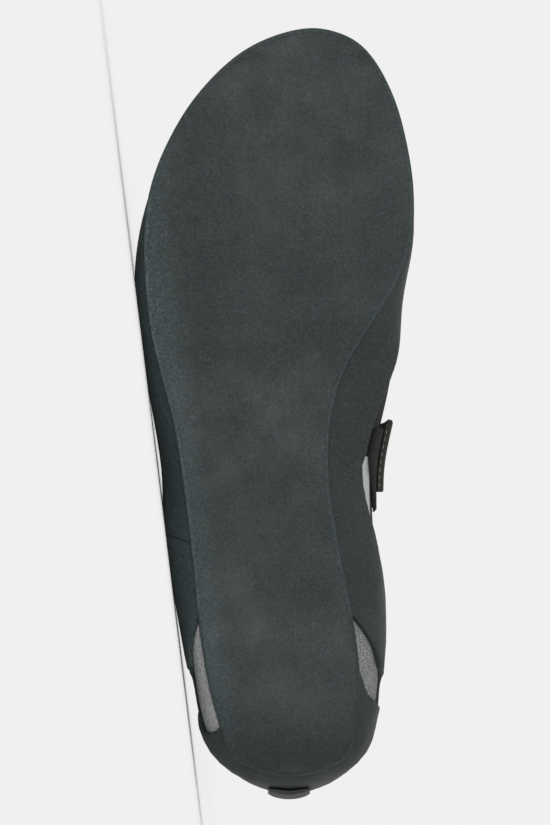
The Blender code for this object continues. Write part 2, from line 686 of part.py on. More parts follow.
def make_pull_loop():
    """Webbing that runs up the heel's back, stands up as a loop and comes down inside."""
    middle = 0.5 * PULL_LOOP_THICKNESS
    out = 3 * GAP + RAND_THICKNESS + middle
    inside = -UPPER_WALL - 4 * GAP - middle
    path = [on_last(s, 0, out)[::2] for s in (2.5, 2.0, 1.5, 1.0, 0.5)]
    lean_top = on_last(0.0, 0, out)[::2]
    inner_top = on_last(0.0, 0, inside)[::2]
    up = lean_top - path[-1]
    up /= np.linalg.norm(up)
    across = 0.5 * (inner_top - lean_top)
    centre = 0.5 * (lean_top + inner_top) + up * (PULL_LOOP_RISE - np.linalg.norm(across))
    path.append(lean_top)
    for turn in np.linspace(0, math.pi, 7):
        path.append(centre - across * math.cos(turn) + up * np.linalg.norm(across) * math.sin(turn))
    path += [on_last(s, 0, inside)[::2] for s in (0.5, 1.0)]
    path = np.array(path)
    way = np.gradient(path, axis=0)
    way /= np.linalg.norm(way, axis=1, keepdims=True)
    side = np.column_stack([-way[:, 1], way[:, 0]]) * middle
    build = bmesh.new()
    rings = []
    spread = np.linspace(-0.5, 0.5, 5) * PULL_LOOP_WIDTH
    for (x, z), (dx, dz) in zip(path, side):
        curve = [y**2 / (0.85 * HEEL_WIDTH) for y in spread]
        ring = [build.verts.new((x + dx + c, y, z + dz)) for y, c in zip(spread, curve)]
        ring += [build.verts.new((x - dx + c, y, z - dz)) for y, c in zip(spread[::-1], curve[::-1])]
        rings.append(ring)
    for first, second in zip(rings, rings[1:]):
        for k in range(len(first)):
            after = (k + 1) % len(first)
            build.faces.new((first[k], first[after], second[after], second[k]))
    build.faces.new(rings[0])
    build.faces.new(rings[-1])
    bmesh.ops.recalc_face_normals(build, faces=build.faces)
    mesh = bpy.data.meshes.new("pull_loop")
    build.to_mesh(mesh)
    build.free()
    return mesh


# Laying the shoe on its side

def volume_and_centre(mesh):
    """Volume and centre of one closed mesh."""
    mesh.calc_loop_triangles()
    points = np.array([v.co for v in mesh.vertices])
    corners = points[np.array([t.vertices for t in mesh.loop_triangles])]
    parts = np.einsum("ij,ij->i", corners[:, 0], np.cross(corners[:, 1], corners[:, 2])) / 6
    centres = corners.sum(axis=1) / 4
    return parts.sum(), (centres * parts[:, None]).sum(axis=0) / parts.sum()


def settled_side(points, centre):
    """Outward direction, and reach, of the upright plane that the shoe's outer side settles on.

    Seen from above, that plane runs along the edge of the hull beside the centre of mass.
    """
    roll = math.radians(SETTLED_ROLL)
    down_start = np.array([0.0, -math.cos(roll), math.sin(roll)])
    reach = (points - centre) @ down_start
    order = np.argsort(points[:, 0])
    hull = []
    for x, y in zip(points[order, 0], reach[order]):
        while len(hull) > 1:
            (x1, y1), (x2, y2) = hull[-2:]
            if (x2 - x1) * (y - y1) < (y2 - y1) * (x - x1):
                break
            hull.pop()
        hull.append((x, y))
    for (x1, y1), (x2, y2) in zip(hull, hull[1:]):
        if x1 <= centre[0] <= x2:
            down = down_start * (x2 - x1) - np.array([1.0, 0.0, 0.0]) * (y2 - y1)
            down /= np.linalg.norm(down)
            return down, float(np.max((points - centre) @ down))
    return down_start, float(reach.max())


def lay_down(pieces, carrier):
    """Turn the shoe onto its outer side, with its box's bottom centre at the origin."""
    points = np.array([v.co for piece in pieces for v in piece.data.vertices])
    weights = [volume_and_centre(piece.data) for piece in pieces]
    total = sum(volume for volume, _ in weights)
    centre = sum(volume * middle for volume, middle in weights) / total
    down, reach = settled_side(points, centre)
    up = -down
    heelward = np.array([-1.0, 0.0, 0.0])
    heelward = heelward - up * (heelward @ up)
    heelward /= np.linalg.norm(heelward)
    turn = np.array([heelward, np.cross(up, heelward), up])
    turned = (points - centre) @ turn.T
    shift = np.array([
        -0.5 * (turned[:, 0].min() + turned[:, 0].max()),
        -0.5 * (turned[:, 1].min() + turned[:, 1].max()),
        reach - FLOOR_FLAT,
    ])
    place = Matrix.Identity(4)
    for i in range(3):
        place[i][:3] = turn[i]
        place[i][3] = shift[i] - turn[i] @ centre
    carrier.matrix_world = place


def floor_cutter(group):
    """Box below the floor that flattens what rests on it."""
    bpy.ops.mesh.primitive_cube_add(size=1.0)
    cutter = bpy.context.active_object
    cutter.name = "floor_cutter"
    cutter.data.transform(Matrix.Diagonal((2 * SHOE_LENGTH, 2 * SHOE_LENGTH, 0.1 * SHOE_LENGTH, 1)))
    cutter.data.transform(Matrix.Translation((0, 0, -0.05 * SHOE_LENGTH)))
    for other in list(cutter.users_collection):
        other.objects.unlink(cutter)
    group.objects.link(cutter)
    cutter.hide_render = True
    cutter.display_type = "WIRE"
    return cutter


def flatten_on_floor(piece, cutter):
    lowest = min((piece.matrix_world @ v.co).z for v in piece.data.vertices)
    if lowest < 0:
        flat = piece.modifiers.new("floor_flat", "BOOLEAN")
        flat.operation = "DIFFERENCE"
        flat.object = cutter
        flat.solver = "EXACT"


def main():
    clear_scene()
    group = make_collection(PIECE_COLLECTION)
    cutters = make_collection(CUTTER_COLLECTION)
    rubber = make_material("sole_rubber", (0.052, 0.063, 0.063), 0.8)
    suede = make_material("upper_suede", (0.16, 0.16, 0.165), 0.9)
    lining = make_material("lining", (0.20, 0.20, 0.21), 0.9)
    knit = make_material("tongue_knit", (0.03, 0.03, 0.032), 0.9)
    webbing = make_material("strap_webbing", (0.038, 0.038, 0.035), 0.85)
    carrier = bpy.data.objects.new("shoe_axes", None)
    group.objects.link(carrier)
    pieces = [
        link(make_outsole(), "outsole", group, rubber),
        link(make_upper(), "upper", group, suede),
        link(make_insole(), "insole", group, lining),
        link(make_tongue(), "tongue", group, knit),
        link(make_front_rand(), "front_rand", group, rubber),
        link(make_rear_rand(), "rear_rand", group, rubber),
        link(make_heel_rubber(), "heel_rubber", group, rubber),
        link(make_toe_patch(), "toe_patch", group, rubber),
        link(make_strap(), "strap", group, webbing),
        link(make_loop_patch(), "loop_patch", group, knit),
        link(make_binding(), "collar_binding", group, webbing),
        link(make_pull_loop(), "pull_loop", group, webbing),
    ]
    for piece in pieces:
        piece.parent = carrier
        piece.data.shade_smooth()
        piece.data.set_sharp_from_angle(angle=math.radians(40))
    lay_down(pieces, carrier)
    bpy.context.view_layer.update()
    cutter = floor_cutter(cutters)
    for piece in pieces:
        flatten_on_floor(piece, cutter)


main()
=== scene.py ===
"""Looks of a right climbing shoe that lies on its outer side, seen square to its sole.

Shoe coordinates: x runs from heel to toe, y towards the inner side of the foot and z up from the
lowest line of the last. A place on the last is a station along the foot and a girth round it, from
-5 at the outer top edge, past 0 under the foot, to 5 at the inner top edge and 7 over the throat.
"""

import math

import bmesh
import bpy
import numpy as np
from mathutils import Matrix, Vector


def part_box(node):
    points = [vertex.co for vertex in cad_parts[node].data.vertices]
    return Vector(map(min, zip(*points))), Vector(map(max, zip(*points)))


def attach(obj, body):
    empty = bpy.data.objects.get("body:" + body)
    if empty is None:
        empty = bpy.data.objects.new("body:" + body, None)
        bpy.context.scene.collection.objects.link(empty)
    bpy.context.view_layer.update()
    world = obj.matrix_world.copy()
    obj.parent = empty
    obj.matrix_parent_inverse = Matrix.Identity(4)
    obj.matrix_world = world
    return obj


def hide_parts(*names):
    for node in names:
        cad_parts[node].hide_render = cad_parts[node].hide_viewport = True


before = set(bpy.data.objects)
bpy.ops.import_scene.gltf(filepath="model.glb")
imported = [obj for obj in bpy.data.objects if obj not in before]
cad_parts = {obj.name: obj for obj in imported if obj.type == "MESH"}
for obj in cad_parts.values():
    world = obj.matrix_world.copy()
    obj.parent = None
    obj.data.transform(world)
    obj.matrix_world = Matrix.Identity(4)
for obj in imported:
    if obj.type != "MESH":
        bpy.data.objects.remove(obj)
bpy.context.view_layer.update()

# Sizes in metres
SHOE_LENGTH = 0.255
BALL_WIDTH = 0.093
HEEL_WIDTH = 0.063
HEEL_HEIGHT = 0.070
INSTEP_HEIGHT = 0.079
TOE_HEIGHT = 0.042
ARCH_RISE = 0.0135
UPPER_WALL = 0.0018
RAND_THICKNESS = 0.0018
PATCH_THICKNESS = 0.0012
SOLE_THICKNESS = 0.0042
SOLE_CROWN = 0.0010
SOLE_RIM = 0.0036
SOLE_END_LIFT = 0.0090
TOE_SPRING = 0.0015
INSOLE_THICKNESS = 0.0016
TONGUE_THICKNESS = 0.0026
TONGUE_LIFT = 0.0110
STRAP_THICKNESS = 0.0020
STRAP_END_STAND = 0.0001
STRAP_SEWN_SEAT = 0.0007
LOOP_PATCH_THICKNESS = 0.0012
BINDING_THICKNESS = 0.0009
BINDING_WIDTH = 0.0060
PULL_LOOP_WIDTH = 0.0140
PULL_LOOP_THICKNESS = 0.0014
PULL_LOOP_RISE = 0.0130
GAP = 0.0003
SEAM = 0.00006

# Rings inside a cut edge, and how far the edge itself is rounded down
EDGE_RINGS = (0.0003, 0.0005)
EDGE_ROUND = 0.0005

# Edge of the outsole from its top down to its bottom: inset and share of its height
SOLE_EDGE = [(0.0, 1.0), (0.0, 0.22), (0.0002, 0.12), (0.0006, 0.05), (0.0012, 0.015),
             (0.0022, 0.0), (0.0034, 0.0)]
SOLE_NARROWEST = 0.004

# Steps of that edge that carry a painted highlight, and how far in front of the heel's back that
# painted highlight starts
HIGHLIGHT_EDGE_STEPS = (2, 4)
HIGHLIGHT_EDGE_FROM = 0.062

# The pull loop: diameter of its curve round the heel as a share of HEEL_WIDTH, points round its
# bend and across it, and how its edges are rounded
PULL_LOOP_CURVE = 0.62
PULL_LOOP_BEND_POINTS = 17
PULL_LOOP_ACROSS_POINTS = 13
PULL_LOOP_ROUNDNESS = 3
PULL_LOOP_EDGE_THIN = 0.02

STITCH_LENGTH = 0.0019
STITCH_PITCH = 0.0026
STITCH_SINK = 0.00012
STITCH_RADIUS = 0.00022

# Flat cells that pieces are cut into, and steps along smooth edges and rows of stitches
PLAIN_CELL = 0.0030
FINE_CELL = 0.0020
UPPER_CELL = 0.0026
SOLE_CELL = 0.0040
EDGE_STEP = 0.0015
STITCH_STEP = 0.0006

# Distances below which points, edges and planes count as one
TOUCH = 1e-6
SHORT_EDGE = 2e-6
MERGE_WRAP = 3e-6
MERGE_LAST = 2e-5

# Edges sharper than this stay sharp in the shading
SHARP_FROM = math.radians(50)

# The shoe lies on its outer side, turned this much about its own upright axis
SIDE_LEAN = math.radians(7.01)

# The photograph's frame
PHOTO_WIDTH = 550
PHOTO_HEIGHT = 825
METRES_PER_PIXEL = 0.0003316
HEEL_PIXEL_ROW = 797
AXIS_PIXEL_COLUMN = 289
CAMERA_DISTANCE = 6.0
CAMERA_CLIP = (0.1, 20.0)
SENSOR_HEIGHT = 36.0

# Side view of the last. Along is a share of SHOE_LENGTH; each rise is a share of the height named.
# station: foot along, foot height, foot rise, top along, top height, top rise
PROFILE = [
    ("topline", 0.027, HEEL_HEIGHT, 1.00, 0.125, HEEL_HEIGHT, 0.87),
    ("tendon", 0.014, HEEL_HEIGHT, 0.76, 0.165, HEEL_HEIGHT, 0.83),
    ("heel_back", 0.011, HEEL_HEIGHT, 0.47, 0.204, HEEL_HEIGHT, 0.82),
    ("heel_turn", 0.031, HEEL_HEIGHT, 0.17, 0.243, HEEL_HEIGHT, 0.85),
    ("heel_seat", 0.094, ARCH_RISE, 0.16, 0.282, INSTEP_HEIGHT, 0.80),
    ("heel_front", 0.196, ARCH_RISE, 0.07, 0.325, INSTEP_HEIGHT, 0.89),
    ("shank", 0.310, ARCH_RISE, 0.41, 0.373, INSTEP_HEIGHT, 0.98),
    ("waist", 0.431, ARCH_RISE, 0.96, 0.431, INSTEP_HEIGHT, 1.00),
    ("instep", 0.549, ARCH_RISE, 1.00, 0.545, INSTEP_HEIGHT, 0.79),
    ("vamp", 0.647, ARCH_RISE, 0.67, 0.640, TOE_HEIGHT, 1.19),
    ("ball", 0.737, ARCH_RISE, 0.30, 0.729, TOE_HEIGHT, 1.03),
    ("joint", 0.824, ARCH_RISE, 0.09, 0.816, TOE_HEIGHT, 1.01),
    ("toes", 0.906, ARCH_RISE, 0.00, 0.894, TOE_HEIGHT, 0.88),
    ("toe_front", 0.965, ARCH_RISE, 0.09, 0.958, TOE_HEIGHT, 0.62),
    ("toe_tip", 0.988, TOE_HEIGHT, 0.27, 0.988, TOE_HEIGHT, 0.27),
]

# Plan of the last: distances from the axis as shares of the width named, outer side negative.
# station: width, edge outer, edge inner, side outer, side inner, top outer, top inner
PLAN = [
    ("topline", HEEL_WIDTH, -0.34, 0.35, -0.395, 0.405, -0.41, 0.42),
    ("tendon", HEEL_WIDTH, -0.37, 0.38, -0.40, 0.42, -0.42, 0.43),
    ("heel_back", HEEL_WIDTH, -0.39, 0.40, -0.415, 0.43, -0.43, 0.43),
    ("heel_turn", HEEL_WIDTH, -0.38, 0.37, -0.465, 0.445, -0.450, 0.435),
    ("heel_seat", HEEL_WIDTH, -0.37, 0.35, -0.500, 0.475, -0.445, 0.430),
    ("heel_front", BALL_WIDTH, -0.304, 0.234, -0.378, 0.325, -0.275, 0.263),
    ("shank", BALL_WIDTH, -0.335, 0.175, -0.425, 0.306, -0.195, 0.185),
    ("waist", BALL_WIDTH, -0.376, 0.131, -0.437, 0.302, -0.125, 0.115),
    ("instep", BALL_WIDTH, -0.452, 0.183, -0.490, 0.366, -0.075, 0.090),
    ("vamp", BALL_WIDTH, -0.495, 0.344, -0.530, 0.385, 0.020, 0.020),
    ("ball", BALL_WIDTH, -0.495, 0.419, -0.512, 0.424, 0.055, 0.055),
    ("joint", BALL_WIDTH, -0.430, 0.398, -0.437, 0.402, 0.085, 0.085),
    ("toes", BALL_WIDTH, -0.308, 0.346, -0.314, 0.351, 0.105, 0.105),
    ("toe_front", BALL_WIDTH, -0.145, 0.247, -0.151, 0.253, 0.095, 0.095),
    ("toe_tip", BALL_WIDTH, 0.086, 0.086, 0.086, 0.086, 0.086, 0.086),
]

# Shape of each section, as shares of its own width and reach.
# station: flat of the bottom, rise of the rim, low and high end of the side, crown rise, crown width
SHAPE = [
    ("topline", 0.41, 0.50, 0.68, 0.84, 0.93, 0.98),
    ("tendon", 0.41, 0.37, 0.55, 0.78, 0.90, 0.98),
    ("heel_back", 0.42, 0.27, 0.45, 0.72, 0.88, 0.98),
    ("heel_turn", 0.52, 0.11, 0.32, 0.62, 0.86, 0.97),
    ("heel_seat", 0.76, 0.03, 0.24, 0.52, 0.84, 0.95),
    ("heel_front", 0.84, 0.03, 0.21, 0.49, 0.84, 0.88),
    ("shank", 0.84, 0.03, 0.22, 0.50, 0.87, 0.74),
    ("waist", 0.82, 0.04, 0.25, 0.50, 0.91, 0.66),
    ("instep", 0.84, 0.05, 0.22, 0.46, 0.96, 0.60),
    ("vamp", 0.88, 0.05, 0.21, 0.44, 1.00, 0.58),
    ("ball", 0.90, 0.05, 0.20, 0.42, 1.00, 0.60),
    ("joint", 0.90, 0.06, 0.21, 0.44, 1.00, 0.62),
    ("toes", 0.88, 0.07, 0.24, 0.48, 1.00, 0.62),
    ("toe_front", 0.80, 0.10, 0.32, 0.56, 1.00, 0.58),
    ("toe_tip", 0.80, 0.10, 0.32, 0.56, 1.00, 0.58),
]

# Outline of the outsole. Along is a share of SHOE_LENGTH, the two sides are shares of BALL_WIDTH.
SOLE_OUTLINE = [
    (0.026, 0.005, 0.005),
    (0.047, -0.188, 0.191),
    (0.088, -0.243, 0.236),
    (0.149, -0.289, 0.254),
    (0.224, -0.322, 0.232),
    (0.318, -0.348, 0.183),
    (0.412, -0.381, 0.144),
    (0.486, -0.414, 0.149),
    (0.553, -0.462, 0.198),
    (0.608, -0.496, 0.283),
    (0.667, -0.514, 0.380),
    (0.725, -0.518, 0.437),
    (0.784, -0.500, 0.445),
    (0.843, -0.444, 0.424),
    (0.906, -0.343, 0.378),
    (0.959, -0.205, 0.303),
    (0.988, -0.067, 0.215),
    (1.000, 0.086, 0.086),
]

GIRTH_END = 5
BRIDGE_END = 7
BRIDGE_SWELL = 0.36
STATION = {row[0]: number for number, row in enumerate(PROFILE)}
STATION_END = len(PROFILE) - 1
VAMP = STATION["vamp"]

# Control points of a section on each side of its middle one
HALF_NET = 6

# Fineness of the last's grid, in cells per station and per girth, and of bodies made from it
STATION_CELLS = 16
GIRTH_CELLS = 14
CLOSED_FROM = VAMP * STATION_CELLS
WALL_CELLS = 2 * GIRTH_END * GIRTH_CELLS
BODY_STEP = 4

# Fineness of the outsole's edge and of its middle line, in pieces per row of its outline
SOLE_PIECES = 9
MIDDLE_PIECES = 60

# Flat size of one station and one girth, on average, for cutting pieces and laying their weave
STATION_SPAN = 0.0180
GIRTH_SPAN = 0.0095


# The last

def catmull(before, start, end, after, share):
    """Point on a smooth curve from start to end."""
    b = end - before
    c = 2 * before - 5 * start + 4 * end - after
    d = 3 * start - before - 3 * end + after
    return 0.5 * (2 * start + b * share + c * share**2 + d * share**3)


def section_net(profile, plan, shape):
    """Control points of one section, from the outer top round the bottom to the inner top."""
    _, foot_along, foot_size, foot_rise, top_along, top_size, top_rise = profile
    _, width, edge_out, edge_in, side_out, side_in, top_out, top_in = plan
    _, flat, rim, low, high, crown, crown_width = shape
    foot = np.array([foot_along * SHOE_LENGTH, 0.0, foot_rise * foot_size])
    top = np.array([top_along * SHOE_LENGTH, 0.0, top_rise * top_size])
    middle = 0.5 * (edge_out + edge_in)

    def control(across, reach):
        return foot + (top - foot) * reach + np.array([0.0, across * width, 0.0])

    def half(edge, side, top_edge):
        return [
            control(middle + flat * (edge - middle), 0.0),
            control(edge, rim),
            control(side, low),
            control(side, high),
            control(top_edge + crown_width * (side - top_edge), crown),
            control(top_edge, 1.0),
        ]

    outer = half(edge_out, side_out, top_out)
    inner = half(edge_in, side_in, top_in)
    return np.array(outer[::-1] + [control(middle, 0.0)] + inner)


def last_net():
    """Control points of all sections, with one more section beyond each end."""
    rows = [section_net(*row) for row in zip(PROFILE, PLAN, SHAPE)]
    tip = rows[-1][0]
    beyond_tip = 2 * tip - rows[-2]
    beyond_tip[:, 0] = rows[-2][:, 0]
    behind_heel = 2 * rows[0] - rows[1]
    return np.array([behind_heel] + rows + [beyond_tip])


def girth_weights(girth):
    """Weights of a section's control points at one girth."""
    weights = np.zeros(2 * HALF_NET + 1)
    side = 1 if girth >= 0 else -1
    reach = min(abs(girth), GIRTH_END)
    step = min(int(reach), GIRTH_END - 1)
    share = reach - step
    start, middle, end = (1 - share)**2, 2 * share * (1 - share), share**2
    near, far = HALF_NET + side * (step + 1), HALF_NET + side * min(step + 2, HALF_NET)
    weights[near] += middle
    if step == 0:
        weights[HALF_NET] += start
    else:
        weights[HALF_NET + side * step] += 0.5 * start
        weights[near] += 0.5 * start
    if step == GIRTH_END - 1:
        weights[far] += end
    else:
        weights[near] += 0.5 * end
        weights[far] += 0.5 * end
    return weights


def unit(vectors):
    return vectors / np.maximum(np.linalg.norm(vectors, axis=-1, keepdims=True), 1e-12)


def bridge_points(rows, shares):
    """Arcs over the throat, from the inner edge to the outer one."""
    inner_end, outer_end = rows[:, -1], rows[:, 0]
    spread = np.linalg.norm(inner_end - outer_end, axis=1, keepdims=True)
    from_inner = inner_end + BRIDGE_SWELL * spread * unit(inner_end - rows[:, -2])
    from_outer = outer_end + BRIDGE_SWELL * spread * unit(outer_end - rows[:, 1])
    arcs = []
    for share in shares:
        rest = 1 - share
        arcs.append(rest**3 * inner_end + 3 * rest**2 * share * from_inner
                    + 3 * rest * share**2 * from_outer + share**3 * outer_end)
    return np.stack(arcs, axis=1)


def last_grid():
    """Points and outward normals of the last at the crossings of its fine grid."""
    net = last_net()
    stations = np.linspace(0, STATION_END, STATION_END * STATION_CELLS + 1)
    start = np.minimum(stations.astype(int), STATION_END - 1)
    share = (stations - start)[:, None, None]
    rows = catmull(net[start], net[start + 1], net[start + 2], net[start + 3], share)
    seam = 0.5 * (rows[CLOSED_FROM:, 0] + rows[CLOSED_FROM:, -1])
    rows[CLOSED_FROM:, 0] = seam
    rows[CLOSED_FROM:, -1] = seam
    weights = np.array([girth_weights(g) for g in np.linspace(-GIRTH_END, GIRTH_END, WALL_CELLS + 1)])
    wall = np.einsum("mk,nkd->nmd", weights, rows)
    bridge_cells = (BRIDGE_END - GIRTH_END) * GIRTH_CELLS
    bridge = bridge_points(rows, np.linspace(0, 1, bridge_cells + 1))
    wall_normals = -unit(np.cross(np.gradient(wall, axis=0), np.gradient(wall, axis=1)))
    with_seam = unit(wall_normals[CLOSED_FROM:, 0] + wall_normals[CLOSED_FROM:, -1])
    wall_normals[CLOSED_FROM:, 0] = with_seam
    wall_normals[CLOSED_FROM:, -1] = with_seam
    wall_normals[-1] = unit(wall_normals[-2].mean(axis=0))
    bridge_normals = -unit(np.cross(np.gradient(bridge, axis=0), np.gradient(bridge, axis=1)))
    bridge_normals[CLOSED_FROM:] = wall_normals[CLOSED_FROM:, -1][:, None]
    bridge_normals[:, 0] = wall_normals[:, -1]
    bridge_normals[:, -1] = wall_normals[:, 0]
    points = np.concatenate([wall, bridge[:, 1:]], axis=1)
    normals = np.concatenate([wall_normals, bridge_normals[:, 1:]], axis=1)
    return points, normals


POINTS, NORMALS = last_grid()


def sample(grid, stations, girths):
    """Values of a grid between its crossings; girth past the bridge starts again outside."""
    girths = np.where(girths > BRIDGE_END, girths - GIRTH_END - BRIDGE_END, girths)
    i = np.clip(stations, 0, STATION_END) * STATION_CELLS
    j = np.clip(girths + GIRTH_END, 0, GIRTH_END + BRIDGE_END) * GIRTH_CELLS
    row = np.minimum(i.astype(int), grid.shape[0] - 2)
    column = np.minimum(j.astype(int), grid.shape[1] - 2)
    p, q = (i - row)[:, None], (j - column)[:, None]
    return ((1 - p) * (1 - q) * grid[row, column] + p * (1 - q) * grid[row + 1, column]
            + (1 - p) * q * grid[row, column + 1] + p * q * grid[row + 1, column + 1])


def on_last(stations, girths, distances):
    """Points at distances from the last."""
    stations = np.atleast_1d(np.asarray(stations, dtype=float))
    girths = np.broadcast_to(np.asarray(girths, dtype=float), stations.shape)
    distances = np.broadcast_to(np.asarray(distances, dtype=float), stations.shape)
    return sample(POINTS, stations, girths) + distances[:, None] * unit(
        sample(NORMALS, stations, girths))


def run_along(points):
    """Distance run along a path at each of its points."""
    return np.concatenate([[0], np.cumsum(np.linalg.norm(np.diff(points, axis=0), axis=1))])


def span_of(station, girth, along):
    """Length of one station, or of one girth, at a place on the last."""
    step = 0.1
    station_step, girth_step = (step, 0) if along else (0, step)
    front, back = on_last([station + station_step, station - station_step],
                          [girth + girth_step, girth - girth_step], 0)
    return np.linalg.norm(front - back) / (2 * step)


# Creases, as soft troughs where the depth is positive and ridges where it is negative
# depth, half width, path of station and girth
CREASES = [
    (0.0010, 0.0022, [(7.9, 0.95), (7.55, 1.25), (7.2, 1.75), (6.95, 2.25)]),
    (-0.0007, 0.0026, [(8.1, 1.25), (7.75, 1.6), (7.45, 2.1)]),
    (0.0005, 0.0016, [(8.25, 1.15), (7.9, 1.35)]),
    (0.0006, 0.0060, [(8.1, -1.3), (7.2, -1.15)]),
    (0.0005, 0.0035, [(9.3, 4.4), (9.1, 5.0)]),
    (0.0005, 0.0035, [(9.3, -4.4), (9.1, -5.0)]),
    (0.0007, 0.0030, [(4.6, -3.9), (4.3, -3.4), (4.1, -2.8)]),
    (0.0007, 0.0030, [(4.6, 3.9), (4.3, 3.4), (4.1, 2.9)]),
    (0.0006, 0.0028, [(5.6, 4.2), (5.9, 3.5), (6.3, 3.0)]),
    (0.0006, 0.0028, [(5.6, -4.2), (5.8, -3.7)]),
    (-0.0006, 0.0040, [(11.9, 5.0), (10.9, 5.0)]),
]


def crease_field():
    """How far the creases move each crossing of the grid out of the last."""
    field = np.zeros(POINTS.shape[:2])
    for depth, half_width, path in CREASES:
        path = np.array(path)
        line = on_last(path[:, 0], path[:, 1], 0)
        nearest = np.full(field.shape, np.inf)
        for start, end in zip(line, line[1:]):
            way = end - start
            share = np.clip(((POINTS - start) @ way) / (way @ way), 0, 1)
            away = np.linalg.norm(POINTS - start - share[..., None] * way, axis=2)
            nearest = np.minimum(nearest, away)
        field -= depth * np.exp(-(nearest / half_width)**2)
    level = 0.5 * (field[CLOSED_FROM:, 0] + field[CLOSED_FROM:, WALL_CELLS])
    field[CLOSED_FROM:, 0] = level
    field[CLOSED_FROM:, WALL_CELLS:] = level[:, None]
    return field


POINTS = POINTS + crease_field()[..., None] * NORMALS


# From the shoe's own axes to the frame's

def shoe_to_frame():
    """The shoe's axes in the frame, placed so that the wall of the last fills the upper's box."""
    heelward = Vector((-math.cos(SIDE_LEAN), math.sin(SIDE_LEAN), 0))
    up = Vector((math.sin(SIDE_LEAN), math.cos(SIDE_LEAN), 0))
    sideways = Vector((0, 0, 1))
    place = Matrix((heelward, sideways, up)).to_4x4()
    turn = np.array(place.to_3x3())
    wall = POINTS[:, :WALL_CELLS + 1].reshape(-1, 3) @ turn.T
    low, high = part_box("upper")
    place.translation = 0.5 * (np.array(low) + np.array(high) - wall.min(axis=0) - wall.max(axis=0))
    return place


PLACE = shoe_to_frame()


# Making pieces

def mesh_of(build, name):
    """Mesh of a finished bmesh, which is freed."""
    mesh = bpy.data.meshes.new(name)
    build.to_mesh(mesh)
    build.free()
    return mesh


def add_object(name, data):
    """New object in the scene."""
    thing = bpy.data.objects.new(name, data)
    bpy.context.scene.collection.objects.link(thing)
    return thing


def new_piece(name, build, materials, replaces=()):
    """Finish a piece: its mesh goes from the shoe's axes to the frame, above the floor."""
    build.transform(PLACE)
    for vert in build.verts:
        vert.co.z = max(vert.co.z, 0.0)
    mesh = mesh_of(build, name)
    for material in materials:
        mesh.materials.append(material)
    mesh.shade_smooth()
    mesh.set_sharp_from_angle(angle=SHARP_FROM)
    piece = add_object(name, mesh)
    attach(piece, "root")
    if replaces:
        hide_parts(*replaces)
    return piece


def smooth_edge(points, spacing=EDGE_STEP):
    """Smooth open curve through given places on the last."""
    spots = [np.array(p, dtype=float) for p in points]
    if len(spots) < 3:
        return [tuple(p) for p in spots]
    padded = [2 * spots[0] - spots[1], *spots, 2 * spots[-1] - spots[-2]]
    curve = []
    for i in range(len(spots) - 1):
        flat = (spots[i + 1] - spots[i]) * (STATION_SPAN, GIRTH_SPAN)
        pieces = max(1, round(float(np.linalg.norm(flat)) / spacing))
        curve += [tuple(catmull(*padded[i:i + 4], k / pieces)) for k in range(pieces)]
    return curve + [tuple(spots[-1])]


def outline_of(*edges):
    """One closed outline from smooth edges that meet at corners."""
    outline = []
    for edge in edges:
        for spot in smooth_edge(edge):
            if not outline or np.linalg.norm(np.subtract(spot, outline[-1])) > 1e-3:
                outline.append(spot)
    if np.linalg.norm(np.subtract(outline[0], outline[-1])) < 1e-3:
        outline.pop()
    return outline


def outward(build):
    """Turn every face outwards."""
    bmesh.ops.recalc_face_normals(build, faces=build.faces)
    if build.calc_volume(signed=True) < 0:
        bmesh.ops.reverse_faces(build, faces=build.faces)


def cut_plane(build, geometry, axis, at):
    """Cut geometry along a plane square to one axis, and return what it leaves."""
    place, way = [0, 0, 0], [0, 0, 0]
    place[axis] = at
    way[axis] = 1
    cut = bmesh.ops.bisect_plane(build, geom=geometry, dist=TOUCH, plane_co=place, plane_no=way)
    return cut["geom"]


def all_of(build):
    return build.verts[:] + build.edges[:] + build.faces[:]


def cut_flat(outline, cell):
    """Flat cut of a piece: edge rings, then a grid of cells, in flat metres."""
    build = bmesh.new()
    corners = [build.verts.new((s * STATION_SPAN, g * GIRTH_SPAN, 0)) for s, g in outline]
    build.faces.new(corners)
    for ring in EDGE_RINGS:
        inner = [f for f in build.faces if len(f.verts) > 4 or ring == EDGE_RINGS[0]]
        bmesh.ops.inset_region(build, faces=inner, thickness=ring, use_even_offset=True,
                               use_boundary=True)
    spots = np.array([v.co for v in build.verts])
    for axis, span in ((0, STATION_SPAN), (1, GIRTH_SPAN)):
        step = span / max(1, round(span / cell))
        first = math.ceil(spots[:, axis].min() / step + 0.01)
        last = math.floor(spots[:, axis].max() / step - 0.01)
        for line in range(first, last + 1):
            cut_plane(build, all_of(build), axis, line * step)
    bmesh.ops.recalc_face_normals(build, faces=build.faces)
    if sum(f.normal.z for f in build.faces) < 0:
        bmesh.ops.reverse_faces(build, faces=build.faces)
    return build


def at_seam(stations, girths):
    """True where the two sides of a piece are joined over the toes or at the tip."""
    joined = (np.abs(np.abs(girths) - GIRTH_END) < 1e-4) & (stations > VAMP - 1e-4)
    return joined | (stations > STATION_END - 1e-4)


def edge_distance(spots, outline):
    """Flat distance of each spot from the cut edge, leaving out its joined parts."""
    corners = np.array(outline)
    nearest = np.full(len(spots), np.inf)
    for ends in zip(corners, np.roll(corners, -1, axis=0)):
        if np.all(at_seam(*np.transpose(ends))):
            continue
        start, end = np.array(ends) * (STATION_SPAN, GIRTH_SPAN)
        way = end - start
        share = np.clip(((spots - start) @ way) / max(way @ way, 1e-18), 0, 1)
        nearest = np.minimum(nearest, np.linalg.norm(spots - start - share[:, None] * way, axis=1))
    return nearest


def at_places(distance, stations, girths):
    """Distances from the last, given as one number or as a function of the place."""
    return distance(stations, girths) if callable(distance) else np.full(len(stations), distance)


